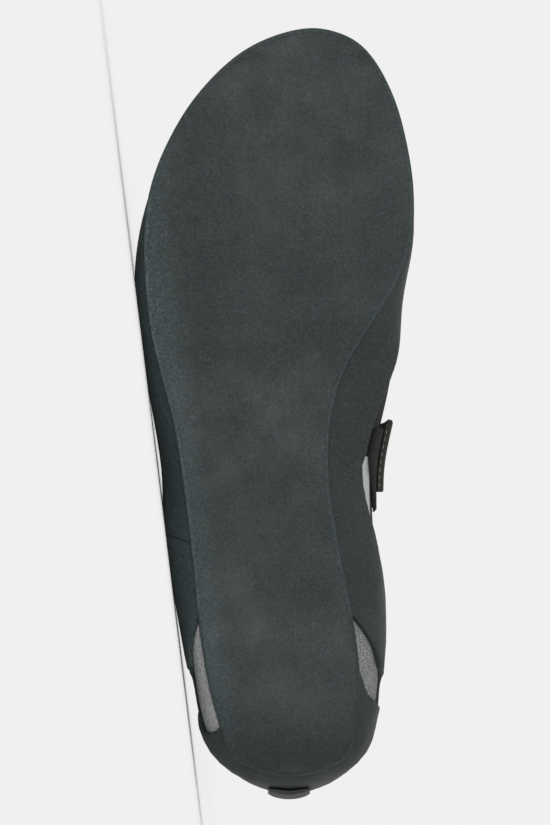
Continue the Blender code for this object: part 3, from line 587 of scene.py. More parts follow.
def thicken(build, inner_slot):
    """Give a flat cut its inner side and its walls, but no wall where it is joined to itself."""
    lifted = bmesh.ops.extrude_face_region(build, geom=build.faces[:])["geom"]
    top = [v for v in lifted if isinstance(v, bmesh.types.BMVert)]
    bmesh.ops.translate(build, verts=top, vec=(0, 0, 1))
    bmesh.ops.recalc_face_normals(build, faces=build.faces)
    joined = []
    for face in build.faces:
        if face.normal.z < -0.5:
            face.material_index = inner_slot
        elif face.normal.z < 0.5:
            spots = np.array([v.co for v in face.verts]) / (STATION_SPAN, GIRTH_SPAN, 1)
            if np.all(at_seam(spots[:, 0], spots[:, 1])):
                joined.append(face)
    bmesh.ops.delete(build, geom=joined, context="FACES")


def wrap(build, outline, low, high, inner_slot=0, over_toes=False):
    """Give a flat cut its thickness and wrap it over the last, its cut edges rounded.

    Without an outline the edges stay square. A piece over the toes runs past the closed seam,
    where the last has no bridge.
    """
    pattern = build.loops.layers.uv.new("flat")
    for face in build.faces:
        for loop in face.loops:
            loop[pattern].uv = loop.vert.co.xy
    thicken(build, inner_slot)
    spots = np.array([v.co for v in build.verts])
    stations, girths, levels = spots[:, 0] / STATION_SPAN, spots[:, 1] / GIRTH_SPAN, spots[:, 2]
    lows = at_places(low, stations, girths)
    highs = at_places(high, stations, girths)
    if outline:
        share = np.clip(edge_distance(spots[:, :2], outline) / EDGE_ROUND, 0, 1)
        highs = highs - EDGE_ROUND * (1 - np.sqrt(1 - (1 - share)**2))
    if over_toes:
        girths = np.where(girths > GIRTH_END, girths + BRIDGE_END - GIRTH_END, girths)
    places = on_last(stations, girths, np.where(levels > 0.5, highs, lows))
    for vert, place in zip(build.verts, places):
        vert.co = place
    bmesh.ops.remove_doubles(build, verts=build.verts, dist=MERGE_WRAP)
    bmesh.ops.dissolve_degenerate(build, edges=build.edges, dist=SHORT_EDGE)
    bmesh.ops.triangulate(build, faces=[f for f in build.faces if len(f.verts) > 4])
    outward(build)
    return build


def wrapped(outline, low, high, cell=PLAIN_CELL, over_toes=False):
    """Piece cut flat by its outline and wrapped over the last between two distances."""
    return wrap(cut_flat(outline, cell), outline, low, high, over_toes=over_toes)


def sheet_through(rows):
    """Sheet through rows of points, whose vertices are numbered along one row after another."""
    build = bmesh.new()
    bmesh.ops.create_grid(build, x_segments=len(rows[0]) - 1, y_segments=len(rows) - 1, size=1)
    for vert, point in zip(build.verts, np.concatenate(rows)):
        vert.co = point
    build.verts.index_update()
    return build


def close_up(build, merge):
    """Join a sheet to itself where its edges meet, and return the lids put over what stays open."""
    bmesh.ops.remove_doubles(build, verts=build.verts, dist=merge)
    bmesh.ops.dissolve_degenerate(build, edges=build.edges, dist=TOUCH)
    open_edges = [e for e in build.edges if e.is_boundary]
    return bmesh.ops.holes_fill(build, edges=open_edges)["faces"]


def cut_away(build, cutter_build):
    """What is left of one body when another is taken out of it."""
    body = add_object("body", mesh_of(build, "body"))
    cutter = add_object("cutter", mesh_of(cutter_build, "cutter"))
    cut = body.modifiers.new("cut", "BOOLEAN")
    cut.operation = "DIFFERENCE"
    cut.object = cutter
    cut.solver = "EXACT"
    graph = bpy.context.evaluated_depsgraph_get()
    result = bmesh.new()
    result.from_mesh(body.evaluated_get(graph).to_mesh())
    for used in (body, cutter):
        bpy.data.objects.remove(used)
    return result


# The outsole plate

def foot_line(along):
    """Height of the last's bottom at distances from the heel, held down at both ends."""
    spots = POINTS[STATION["heel_turn"] * STATION_CELLS:, GIRTH_END * GIRTH_CELLS]
    rise = np.interp(along, spots[:, 0], spots[:, 2])
    behind = along < SHOE_LENGTH * PROFILE[STATION["heel_front"]][1]
    ahead = along > SHOE_LENGTH * PROFILE[STATION["joint"]][1]
    rise = np.where(behind, np.minimum(rise, SOLE_END_LIFT), rise)
    return np.where(ahead, np.minimum(rise, TOE_SPRING), rise)


def sole_curve(pieces):
    """Edge of the outsole as along, outer side and inner side."""
    rows = np.array(SOLE_OUTLINE) * (SHOE_LENGTH, BALL_WIDTH, BALL_WIDTH)
    before = 2 * rows[0] - rows[1]
    after = 2 * rows[-1] - rows[-2]
    before[0], after[0] = rows[1][0], rows[-2][0]
    padded = [before, *rows, after]
    curve = []
    for i in range(len(rows) - 1):
        for step in range(pieces):
            curve.append(catmull(*padded[i:i + 4], step / pieces))
    return np.array(curve + [rows[-1]])


def sole_ring(grow):
    """Outline of the outsole in plan, grown by a margin, back to its first point."""
    curve = sole_curve(SOLE_PIECES)
    ring = np.concatenate([curve[:, :2], curve[-2:0:-1, ::2]])
    way = unit(np.roll(ring, -1, axis=0) - np.roll(ring, 1, axis=0))
    ring = ring + grow * np.column_stack([way[:, 1], -way[:, 0]])
    return np.concatenate([ring, ring[:1]])


def sole_bottom(spots, deeper):
    """Height of the outsole's crowned underside at places in plan."""
    curve = sole_curve(MIDDLE_PIECES)
    across = np.interp(spots[:, 0], curve[:, 0], curve[:, 1:].mean(axis=1))
    half = np.interp(spots[:, 0], curve[:, 0], 0.5 * np.ptp(curve[:, 1:], axis=1))
    share = np.clip((spots[:, 1] - across) / np.maximum(half, SOLE_NARROWEST), -1, 1)
    return foot_line(spots[:, 0]) - SOLE_THICKNESS - deeper + SOLE_CROWN * share**2


def cut_across(build, faces, axis, reach):
    """Cut flat faces into strips across one axis."""
    lines = round(reach / SOLE_CELL)
    for line in range(-lines, lines):
        parts = faces + [e for f in faces for e in f.edges] + [v for f in faces for v in f.verts]
        left = cut_plane(build, list(dict.fromkeys(parts)), axis, (line + 0.5) * SOLE_CELL)
        faces = [f for f in left if isinstance(f, bmesh.types.BMFace)]
    return faces


def plate(grow, deeper):
    """Sole plate before the last is taken out of it, with a rounded edge and a crowned bottom."""
    rings = []
    top = foot_line(sole_ring(grow)[:, 0]) + SOLE_RIM + grow
    for inset, height in SOLE_EDGE:
        spots = sole_ring(grow - inset)
        bottom = sole_bottom(spots, deeper)
        rings.append(np.column_stack([spots, bottom + height * (top - bottom)]))
    build = sheet_through(rings)
    # Faces on the chosen steps of the edge, ahead of the heel's end, take the second slot: lighter
    # rubber that paints a highlight along the edge
    for face in build.faces:
        first = face.verts[0]
        highlighted = HIGHLIGHT_EDGE_STEPS[0] <= first.index // len(rings[0]) < HIGHLIGHT_EDGE_STEPS[1]
        face.material_index = int(highlighted and first.co.x > HIGHLIGHT_EDGE_FROM)
    lids = close_up(build, TOUCH)
    lids.sort(key=lambda lid: lid.calc_center_median().z)
    bmesh.ops.recalc_face_normals(build, faces=build.faces)
    cut_across(build, lids[1:], 0, SHOE_LENGTH)
    bottom_faces = cut_across(build, lids[:1], 0, SHOE_LENGTH)
    bottom_faces = set(cut_across(build, bottom_faces, 1, BALL_WIDTH))
    inside = [v for v in build.verts if bottom_faces.issuperset(v.link_faces)]
    levels = sole_bottom(np.array([v.co.xy for v in inside]), deeper)
    for vert, level in zip(inside, levels):
        vert.co.z = level
    outward(build)
    return build


def solid_last(distance):
    """The last as one closed body at a distance, with lids over the throat and ankle."""
    build = sheet_through((POINTS + distance * NORMALS)[::BODY_STEP, ::BODY_STEP])
    lids = close_up(build, MERGE_LAST)
    bmesh.ops.triangulate(build, faces=lids)
    outward(build)
    return build


# Edges of the pieces as station and girth, outer side of the foot negative

MARGIN_HEEL = 4.0
MARGIN_TOE = 12.5
MARGIN_SIDE = 0.62
INSOLE_EDGE = [(3.75, -0.5), (4.3, -0.86), (12.4, -0.86), (12.95, -0.4)]
RAND_TOP_OUTER = [(6.15, -3.15), (7.6, -3.2), (9.0, -3.25), (10.4, -3.3), (11.8, -3.55),
                  (12.75, -4.2), (13.1, -5.0)]
RAND_TOP_INNER = [(13.1, 5.0), (12.75, 4.2), (11.8, 3.55), (10.4, 3.3), (9.2, 3.1), (8.5, 2.95),
                  (8.0, 2.62), (7.5, 2.36), (7.0, 2.26)]
RAND_OVERLAP = [(6.85, 2.26), (7.15, 1.5), (7.45, 0.9)]
OUTER_SEAM_STATION = 6.15
UNDER_SOLE = 0.9
SLING_LOW = [(5.45, 1.05), (5.2, 1.6), (4.95, 1.95), (4.7, 2.2), (4.4, 2.45), (3.95, 2.95),
             (3.3, 3.15), (2.75, 2.75), (2.3, 1.6), (2.05, 0.0)]
SLING_TOP_OUTER = [(5.5, 3.35), (4.8, 3.6), (4.0, 3.75), (3.0, 3.65), (2.0, 3.2), (1.4, 2.2),
                   (1.05, 1.0), (0.95, 0.0)]
SLING_TOP_INNER = [(6.75, 2.26), (6.5, 2.36), (6.2, 2.55), (5.8, 2.8), (5.4, 3.15)]
HEEL_OUTER = [(3.5, -0.9), (4.0, -0.9), (4.0, -1.15), (3.6, -1.7), (3.1, -2.2)]
HEEL_INNER = [(3.75, 2.35), (4.05, 2.1), (4.3, 1.8), (4.6, 1.5), (4.85, 1.1), (4.85, 0.9)]
PATCH_BACK = [(10.1, 6.55), (9.75, 6.0), (9.85, 5.0), (9.7, 4.2), (9.95, 3.5)]
STRAP_EDGE_FRONT = [(7.53, 3.0), (7.48, 4.0), (7.6, 5.0), (7.58, 6.0), (7.45, 7.0), (7.2, 8.0),
                    (6.93, 8.7)]
STRAP_EDGE_BACK = [(5.95, 8.6), (6.22, 8.0), (6.42, 7.0), (6.5, 6.0), (6.52, 5.0), (6.6, 4.0),
                   (6.66, 3.0)]
LOOP_PATCH_EDGE = [(6.4, 2.95), (6.85, 2.62), (7.12, 2.45), (7.42, 2.5), (7.45, 4.5),
                   (6.4, 4.5)]
BINDING_END = 8.75
RAND_FRONT = 13.1
RAND_UNDER_TOE = 13.3
SLING_FRONT = 5.5
HEEL_FRONT = 3.5
HEEL_INNER_BEND = (3.4, 2.6)
TONGUE_FRONT = [(8.5, 4.6), (8.55, 6.0), (8.5, 7.4)]
TONGUE_FREE = [(6.9, 7.7), (6.5, 6.78), (5.6, 6.65), (5.35, 6.4), (5.3, 6.0), (5.35, 5.6),
               (5.6, 5.35), (6.5, 5.22), (6.9, 4.3)]

# Where the tongue starts to lift off the foot and how fast, and its channels
TONGUE_FREE_FROM = 6.4
TONGUE_LIFT_POWER = 1.3
CHANNELS_FROM = 6.6
CHANNELS_FADE = 0.4
CHANNELS_PER_STATION = 3.2
CHANNEL_WIDTH = 0.16
CHANNEL_DEPTH = 0.0006

# How far the strap's underside stands off the upper, from girth to girth
STRAP_GIRTHS = [3.0, 4.6, 5.0, 7.4, 7.9]
STRAP_SEATS = [GAP + LOOP_PATCH_THICKNESS + GAP + STRAP_END_STAND,
               GAP + LOOP_PATCH_THICKNESS + GAP, GAP + BINDING_THICKNESS + GAP,
               GAP + BINDING_THICKNESS + GAP, STRAP_SEWN_SEAT]

# Rows of stitches
STITCH_INSET = 0.12
STRAP_CROSS_ROWS = [[(6.75, 3.6), (7.42, 3.6)], [(6.12, 8.4), (6.88, 8.4)]]
# Grey stitches on the strap's folded end; their pale line is a painted highlight along that edge
STRAP_END_HIGHLIGHT_ROW = [(6.7, 3.0), (7.1, 3.0), (7.5, 3.0)]
VAMP_ROW = [(9.9, 3.45), (9.55, 4.2), (9.5, 4.9)]
QUARTER_ROW = [(7.12, 3.0), (7.08, 3.5), (7.0, 4.2), (6.95, 4.55)]
QUARTER_SECOND_ROW = 0.13


def other_side(points):
    """The same edge on the other side of the foot."""
    return [(station, -girth) for station, girth in points]


def mirrored(points):
    """The same edge on the other side of the foot, run backwards."""
    return other_side(points)[::-1]


def moved_round(points, length):
    """The same edge, moved round the last by a length."""
    return [(s, g + length / span_of(s, g, False)) for s, g in points]


def moved_along(points, length):
    """The same edge, moved along the last by a length."""
    return [(s + length / span_of(s, g, True), g) for s, g in points]


# Materials

# A wave texture repeats once in this many metres at scale 1
WAVE_TURN = 2 * math.pi / 20

KNIT_PITCH = 0.0009
WEBBING_PITCH = 0.0008
BINDING_PITCH = 0.0006

# Where painted shade darkens the rubber towards the heel's end, along the frame's x
PAINTED_HEEL_SHADE = (0.092, 0.127)

# Heights above the floor between which a finish loses the painted light on its low side, and that
# painted light's gain at the floor
FLOOR_EDGE = 0.002
RUBBER_PAINTED_LIGHT_TO = 0.017
SUEDE_PAINTED_LIGHT_TO = 0.036
PAINTED_LIGHT_GAIN = 2.6

# Where the upper's cloths meet, as stations and girths
KNIT_FROM = 7.1
KNIT_TO = 9.95
PALE_FROM = 5.6
PALE_LOW = 1.5
PALE_HIGH = 2.66
EDGING_FROM = 4.9
EDGING_HIGH = 3.9


class Finish:
    """One procedural material, built node by node."""

    def __init__(self, name, colour, roughness):
        self.material = bpy.data.materials.new(name)
        self.material.use_nodes = True
        self.nodes = self.material.node_tree.nodes
        self.links = self.material.node_tree.links
        self.shader = self.nodes["Principled BSDF"]
        self.shader.inputs["Base Color"].default_value = (*colour, 1)
        self.shader.inputs["Roughness"].default_value = roughness
        self.shader.inputs["Specular IOR Level"].default_value = 0.35
        self.material.diffuse_color = (*colour, 1)

    def place(self, on_uv=False, scale=(1, 1, 1), turn=0.0):
        """Coordinates in metres, of the object or of the flat piece."""
        source = self.nodes.new("ShaderNodeTexCoord").outputs["UV" if on_uv else "Object"]
        mapping = self.nodes.new("ShaderNodeMapping")
        mapping.inputs["Scale"].default_value = scale
        mapping.inputs["Rotation"].default_value = (0, 0, turn)
        self.links.new(source, mapping.inputs["Vector"])
        return mapping.outputs["Vector"]

    def axes(self, place):
        """The x, y and z of coordinates."""
        node = self.nodes.new("ShaderNodeSeparateXYZ")
        self.links.new(place, node.inputs["Vector"])
        return node.outputs

    def noise(self, place, scale, detail=2.0, rough=0.5):
        node = self.nodes.new("ShaderNodeTexNoise")
        node.inputs["Scale"].default_value = scale
        node.inputs["Detail"].default_value = detail
        node.inputs["Roughness"].default_value = rough
        self.links.new(place, node.inputs["Vector"])
        return node.outputs["Fac"]

    def cells(self, place, scale):
        node = self.nodes.new("ShaderNodeTexVoronoi")
        node.inputs["Scale"].default_value = scale
        self.links.new(place, node.inputs["Vector"])
        return node.outputs["Distance"]

    def wave(self, place, scale, direction, bend=0.0):
        node = self.nodes.new("ShaderNodeTexWave")
        node.bands_direction = direction
        node.inputs["Scale"].default_value = scale
        node.inputs["Distortion"].default_value = bend
        self.links.new(place, node.inputs["Vector"])
        return node.outputs["Fac"]

    def knit(self, flat, pitch):
        """Height of small stitches in columns and rows."""
        columns = self.wave(flat, WAVE_TURN / pitch, "X", 0.3)
        rows = self.wave(flat, 1.25 * WAVE_TURN / pitch, "Y", 0.3)
        return self.math("MULTIPLY", columns, rows)

    def spread(self, value, low, high, to_low=0.0, to_high=1.0):
        """Value carried from one range to another, and held at its ends."""
        node = self.nodes.new("ShaderNodeMapRange")
        for name, amount in (("From Min", low), ("From Max", high),
                             ("To Min", to_low), ("To Max", to_high)):
            node.inputs[name].default_value = amount
        self.links.new(value, node.inputs["Value"])
        return node.outputs["Result"]

    def math(self, kind, first, second):
        node = self.nodes.new("ShaderNodeMath")
        node.operation = kind
        for socket, value in zip(node.inputs, (first, second)):
            if isinstance(value, (int, float)):
                socket.default_value = value
            else:
                self.links.new(value, socket)
        return node.outputs["Value"]

    def mix(self, share, first, second):
        """Colour between two, each a colour or a socket."""
        node = self.nodes.new("ShaderNodeMix")
        node.data_type = "RGBA"
        self.links.new(share, node.inputs["Factor"])
        for socket, value in ((node.inputs[6], first), (node.inputs[7], second)):
            if isinstance(value, tuple):
                socket.default_value = (*value, 1)
            else:
                self.links.new(value, socket)
        return node.outputs[2]

    def painted_low_side_light(self, base, top):
        """Painted light: lighten the colour towards the side on the floor, so that it looks evenly
        lit although the floor shades it.
        """
        gain = self.spread(self.axes(self.place())["Z"], FLOOR_EDGE, top, PAINTED_LIGHT_GAIN, 1.0)
        node = self.nodes.new("ShaderNodeVectorMath")
        node.operation = "SCALE"
        self.links.new(base, node.inputs[0])
        self.links.new(gain, node.inputs["Scale"])
        return node.outputs["Vector"]

    def colour(self, socket):
        self.links.new(socket, self.shader.inputs["Base Color"])

    def roughness(self, socket):
        self.links.new(socket, self.shader.inputs["Roughness"])

    def bump(self, height, distance, strength=1.0):
        """Add relief; each call goes over the last one."""
        node = self.nodes.new("ShaderNodeBump")
        node.inputs["Strength"].default_value = strength
        node.inputs["Distance"].default_value = distance
        self.links.new(height, node.inputs["Height"])
        normal = self.shader.inputs["Normal"]
        if normal.is_linked:
            self.links.new(normal.links[0].from_socket, node.inputs["Normal"])
        self.links.new(node.outputs["Normal"], normal)


def shade(colour, amount):
    return tuple(min(1.0, c * amount) for c in colour)


def rubber_finish(name, colour):
    """Matte rubber: cloudy, fine grain, small pale specks, soft scuffs, painted shade at the heel's
    end and painted light low down.
    """
    finish = Finish(name, colour, 0.62)
    place = finish.place()
    cloud = finish.spread(finish.noise(place, 20, 3.0, 0.55), 0.34, 0.66)
    base = finish.mix(cloud, shade(colour, 0.80), shade(colour, 1.18))
    mottle = finish.spread(finish.noise(place, 420, 4.0, 0.75), 0.45, 0.70, 0.0, 0.5)
    base = finish.mix(mottle, base, shade(colour, 1.5))
    specks = finish.spread(finish.noise(place, 1500, 2.0, 0.7), 0.50, 0.66, 0.0, 0.75)
    base = finish.mix(specks, base, shade(colour, 2.6))
    pits = finish.spread(finish.noise(place, 1150, 2.0, 0.7), 0.36, 0.46, 0.6, 0.0)
    base = finish.mix(pits, base, shade(colour, 0.3))
    dust = finish.place(scale=(1.0, 5.0, 5.0), turn=0.4)
    scuff = finish.spread(finish.noise(dust, 60, 5.0, 0.75), 0.60, 0.80, 0.0, 0.35)
    base = finish.mix(scuff, base, shade(colour, 2.3))
    # Painted shade: darker towards the heel's end, where the sole turns away from the light
    heelward = finish.spread(finish.axes(place)["X"], *PAINTED_HEEL_SHADE, 0.0, 0.5)
    base = finish.mix(heelward, base, shade(colour, 0.15))
    # Painted light: the colour is brightened towards the side on the floor, against the floor's shade
    finish.colour(finish.painted_low_side_light(base, RUBBER_PAINTED_LIGHT_TO))
    finish.roughness(finish.spread(finish.noise(place, 60, 3.0, 0.6), 0.3, 0.7, 0.58, 0.76))
    finish.bump(finish.noise(place, 1500, 3.0, 0.6), 0.00008, 0.9)
    finish.bump(finish.noise(place, 110, 3.0, 0.6), 0.0005, 0.45)
    return finish.material


def knit_finish(name, colour):
    """Close knit with rows of small stitches."""
    finish = Finish(name, colour, 0.88)
    stitch = finish.knit(finish.place(on_uv=True), KNIT_PITCH)
    base = finish.mix(finish.spread(stitch, 0.05, 0.7), shade(colour, 0.7), shade(colour, 1.3))
    fibres = finish.spread(finish.noise(finish.place(), 900, 3.0, 0.7), 0.35, 0.7, 0.0, 0.35)
    finish.colour(finish.mix(fibres, base, shade(colour, 1.7)))
    finish.shader.inputs["Sheen Weight"].default_value = 0.15
    finish.bump(stitch, 0.00015, 0.8)
    return finish.material


def webbing_finish(name, colour, pitch):
    """Woven webbing with a herringbone of fine ribs."""
    finish = Finish(name, colour, 0.85)
    place = finish.place(on_uv=True)
    ribs = [finish.wave(finish.place(on_uv=True, turn=turn), WAVE_TURN / pitch, "X", 0.15)
            for turn in (0.6, -0.6)]
    weave = finish.math("MAXIMUM", *ribs)
    base = finish.mix(finish.spread(weave, 0.3, 1.0), shade(colour, 0.75), shade(colour, 1.2))
    lint = finish.spread(finish.noise(place, 1300, 3.0, 0.7), 0.45, 0.75, 0.0, 0.3)
    finish.colour(finish.mix(lint, base, shade(colour, 1.8)))
    finish.bump(weave, 0.00010, 0.7)
    return finish.material


def fuzz_finish(name, colour):
    """Loop side of a hook-and-loop closing: a mat of tiny loops."""
    finish = Finish(name, colour, 0.95)
    place = finish.place()
    loops = finish.cells(place, 1400)
    base = finish.mix(finish.spread(loops, 0.1, 0.6), shade(colour, 1.6), shade(colour, 0.4))
    finish.colour(base)
    finish.bump(loops, 0.0003, 0.8)
    return finish.material


def lining_finish(name, colour):
    """Brushed textile lining."""
    finish = Finish(name, colour, 0.93)
    place = finish.place(on_uv=True)
    weave = finish.math("MULTIPLY", finish.wave(place, 420, "X"), finish.wave(place, 420, "Y"))
    base = finish.mix(finish.spread(weave, 0.1, 0.8), shade(colour, 0.75), shade(colour, 1.2))
    blotch = finish.spread(finish.noise(finish.place(), 60, 3.0, 0.6), 0.35, 0.7, 0.0, 0.4)
    finish.colour(finish.mix(blotch, base, shade(colour, 0.85)))
    finish.bump(weave, 0.00016, 0.7)
    return finish.material


def upper_finish(name, suede, knit, pale):
    """Upper in three cloths: suede quarters, a knit vamp and a pale panel at the inner waist."""
    finish = Finish(name, suede, 0.90)
    place, flat = finish.place(), finish.place(on_uv=True)
    along, round_foot = finish.axes(flat)[:2]

    def between(value, low, high):
        over = finish.math("GREATER_THAN", value, low)
        return finish.math("MULTIPLY", over, finish.math("LESS_THAN", value, high))

    def stations(first, last):
        return between(along, first * STATION_SPAN, last * STATION_SPAN)

    def girths(first, last):
        return between(round_foot, first * GIRTH_SPAN, last * GIRTH_SPAN)

    speckle = finish.spread(finish.noise(place, 1900, 2.0, 0.7), 0.38, 0.66)
    nap = finish.mix(speckle, shade(suede, 0.5), shade(suede, 1.75))
    pale_nap = finish.mix(speckle, shade(pale, 0.85), shade(pale, 1.12))
    stitch = finish.knit(flat, KNIT_PITCH)
    loops = finish.mix(finish.spread(stitch, 0.05, 0.7), shade(knit, 0.6), shade(knit, 1.4))
    edging = finish.math("MULTIPLY", stations(EDGING_FROM, KNIT_FROM),
                         girths(PALE_HIGH, EDGING_HIGH))
    vamp = finish.math("MAXIMUM", stations(KNIT_FROM, KNIT_TO), edging)
    quarter = finish.math("MULTIPLY", stations(PALE_FROM, KNIT_FROM), girths(PALE_LOW, PALE_HIGH))
    # Painted light: the suede is brightened towards the side on the floor, against the floor's shade
    base = finish.mix(quarter, finish.painted_low_side_light(nap, SUEDE_PAINTED_LIGHT_TO), pale_nap)
    finish.colour(finish.mix(vamp, base, loops))
    grain = finish.noise(place, 1600, 3.0, 0.7)
    relief = finish.math("ADD", finish.math("MULTIPLY", vamp, stitch), grain)
    finish.bump(relief, 0.00020, 0.9)
    return finish.material


def thread_finish(name, colour, dark, light):
    """Sewing thread with fine fibres."""
    finish = Finish(name, colour, 0.7)
    fibres = finish.spread(finish.noise(finish.place(), 3000), 0.3, 0.7)
    finish.colour(finish.mix(fibres, dark, light))
    return finish.material


RUBBER_GREY = (0.0100, 0.0145, 0.0147)
sole_rubber = rubber_finish("sole_rubber_matte", RUBBER_GREY)
# Lighter rubber for part of the outsole's edge: a painted highlight
edge_highlight_rubber = rubber_finish("sole_edge_painted_highlight", shade(RUBBER_GREY, 1.7))
rand_rubber = rubber_finish("rand_rubber_matte", shade(RUBBER_GREY, 1.02))
tab_rubber = rubber_finish("pull_tab_dark", shade(RUBBER_GREY, 0.8))
heel_rubber = rubber_finish("heel_rubber_matte", shade(RUBBER_GREY, 0.90))
upper_cloth = upper_finish("upper_cloths", (0.140, 0.142, 0.144), (0.012, 0.013, 0.014),
                           (0.36, 0.37, 0.37))
tongue_cloth = knit_finish("tongue_knit_black", (0.018, 0.019, 0.020))
strap_cloth = webbing_finish("strap_webbing_brown_black", (0.0145, 0.0145, 0.0100), WEBBING_PITCH)
band_cloth = webbing_finish("binding_black", (0.012, 0.013, 0.013), BINDING_PITCH)
loop_cloth = fuzz_finish("loop_fabric_black", (0.008, 0.0085, 0.0085))
lining_cloth = lining_finish("lining_grey", (0.20, 0.20, 0.21))
# Grey thread: real on the upper's seams, a painted highlight on the strap's folded end
grey_thread_and_highlight = thread_finish("grey_thread_and_highlight", (0.10, 0.10, 0.10), (0.07, 0.07, 0.07),
                            (0.15, 0.15, 0.15))
thread_black = thread_finish("thread_black", (0.02, 0.02, 0.02), (0.012, 0.012, 0.012),
                             (0.04, 0.04, 0.04))


# The pieces

def beside_sole(build):
    """Trim a piece back from the side of the sole plate."""
    return cut_away(build, plate(SEAM, SOLE_THICKNESS))


def flat_grid(cell):
    """Flat sheet over the whole wall of the last."""
    across = round(2 * GIRTH_END * GIRTH_SPAN / cell)
    build = bmesh.new()
    bmesh.ops.create_grid(build, x_segments=round(STATION_END * STATION_SPAN / cell),
                          y_segments=across + across % 2, size=1)
    half = 0.5 * STATION_END * STATION_SPAN
    for vert in build.verts:
        vert.co.x = half * (1 + vert.co.x)
        vert.co.y *= GIRTH_END * GIRTH_SPAN
    return build


def make_upper():
    """Upper from its lasting margin to the topline, in one piece that closes over the toes."""
    build = flat_grid(UPPER_CELL)
    side = MARGIN_SIDE * GIRTH_SPAN
    for axis, at in ((0, MARGIN_HEEL * STATION_SPAN), (0, MARGIN_TOE * STATION_SPAN),
                     (1, side), (1, -side)):
        cut_plane(build, all_of(build), axis, at)
    opening = []
    for face in build.faces:
        middle = face.calc_center_median()
        if MARGIN_HEEL < middle.x / STATION_SPAN < MARGIN_TOE and abs(middle.y) < side:
            opening.append(face)
    bmesh.ops.delete(build, geom=opening, context="FACES")
    wrap(build, [], -UPPER_WALL, 0.0, inner_slot=1)
    return new_piece("upper_shell", build, [upper_cloth, lining_cloth], ["upper"])


def make_insole():
    """Thin board inside, between the two sides of the lasting margin."""
    top = -UPPER_WALL - GAP
    outline = outline_of(INSOLE_EDGE, mirrored(INSOLE_EDGE))
    build = wrapped(outline, top - INSOLE_THICKNESS, top)
    return new_piece("insole_board", build, [lining_cloth], ["insole"])


def make_tongue():
    """Padded tongue with soft channels across it, its free end standing off the foot."""
    outline = outline_of(TONGUE_FRONT, [TONGUE_FRONT[-1], TONGUE_FREE[0]], TONGUE_FREE,
                         [TONGUE_FREE[-1], TONGUE_FRONT[0]])

    def outer(stations):
        lift = TONGUE_LIFT * np.maximum(0.0, TONGUE_FREE_FROM - stations)**TONGUE_LIFT_POWER
        return lift - UPPER_WALL - 2 * GAP

    def low(stations, girths):
        return outer(stations) - TONGUE_THICKNESS

    def high(stations, girths):
        turn = (stations * CHANNELS_PER_STATION + 0.5) % 1 - 0.5
        channel = np.exp(-(turn / CHANNEL_WIDTH)**2)
        free_end = np.clip((CHANNELS_FROM - stations) / CHANNELS_FADE, 0, 1)
        return outer(stations) - CHANNEL_DEPTH * channel * free_end

    build = wrapped(outline, low, high, FINE_CELL)
    piece = new_piece("tongue_pad", build, [tongue_cloth], ["tongue"])
    return piece


def make_outsole():
    """Outsole plate, hollowed by the last that it lies against."""
    build = cut_away(plate(0.0, 0.0), solid_last(GAP))
    return new_piece("outsole_plate", build, [sole_rubber, edge_highlight_rubber], ["outsole"])


def outer_seam(side):
    """Station of the outer seam, half the seam's width to one side of its middle."""
    return OUTER_SEAM_STATION + side * 0.5 * SEAM / span_of(OUTER_SEAM_STATION, -3, True)


def make_front_rand():
    """Rand round the toes, the outer side and the ball, ending at its two overlaps."""
    seam = outer_seam(1)
    outer_top = [(seam, RAND_TOP_OUTER[0][1])] + RAND_TOP_OUTER[1:]
    outline = outline_of(outer_top, [(RAND_FRONT, -GIRTH_END), (STATION_END, -GIRTH_END)],
                         [(STATION_END, GIRTH_END), (RAND_FRONT, GIRTH_END)], RAND_TOP_INNER,
                         moved_along(RAND_OVERLAP, 0.5 * SEAM),
                         [(RAND_UNDER_TOE, UNDER_SOLE), (RAND_UNDER_TOE, -UNDER_SOLE)],
                         [(seam, -UNDER_SOLE), outer_top[0]])
    build = beside_sole(wrapped(outline, GAP, GAP + RAND_THICKNESS))
    return new_piece("rand_front", build, [rand_rubber], ["front_rand"])


def make_rear_rand():
    """Slingshot rand: from both waists round the heel's back."""
    seam = outer_seam(-1)
    seam_top = (seam, RAND_TOP_OUTER[0][1])
    round_heel = other_side(SLING_TOP_OUTER) + SLING_TOP_OUTER[-2:0:-1]
    top = [seam_top] + round_heel + SLING_TOP_INNER[::-1]
    outline = outline_of([(seam, -UNDER_SOLE), seam_top], top, moved_along(RAND_OVERLAP, -0.5 * SEAM),
                         [(SLING_FRONT, UNDER_SOLE), SLING_LOW[0]],
                         SLING_LOW + mirrored(SLING_LOW[:-1]),
                         [(SLING_LOW[0][0], -UNDER_SOLE), (seam, -UNDER_SOLE)])
    build = beside_sole(wrapped(outline, GAP, GAP + RAND_THICKNESS))
    return new_piece("rand_rear", build, [rand_rubber], ["rear_rand"])


def make_heel_rubber():
    """Rubber round the heel between the sole and the rear rand, ending at both suede windows."""
    under_sling = moved_along([p for p in SLING_LOW if p[0] < 3.0], GAP)
    top = other_side(under_sling) + under_sling[-2::-1]
    inner_front = (HEEL_FRONT, UNDER_SOLE)
    outline = outline_of(HEEL_OUTER[:2], HEEL_OUTER[1:3], HEEL_OUTER[2:] + top[:1], top,
                         [top[-1], HEEL_INNER_BEND] + HEEL_INNER, [HEEL_INNER[-1], inner_front],
                         [inner_front, HEEL_OUTER[0]])
    build = beside_sole(wrapped(outline, GAP, GAP + RAND_THICKNESS))
    return new_piece("heel_cup", build, [heel_rubber], ["heel_rubber"])


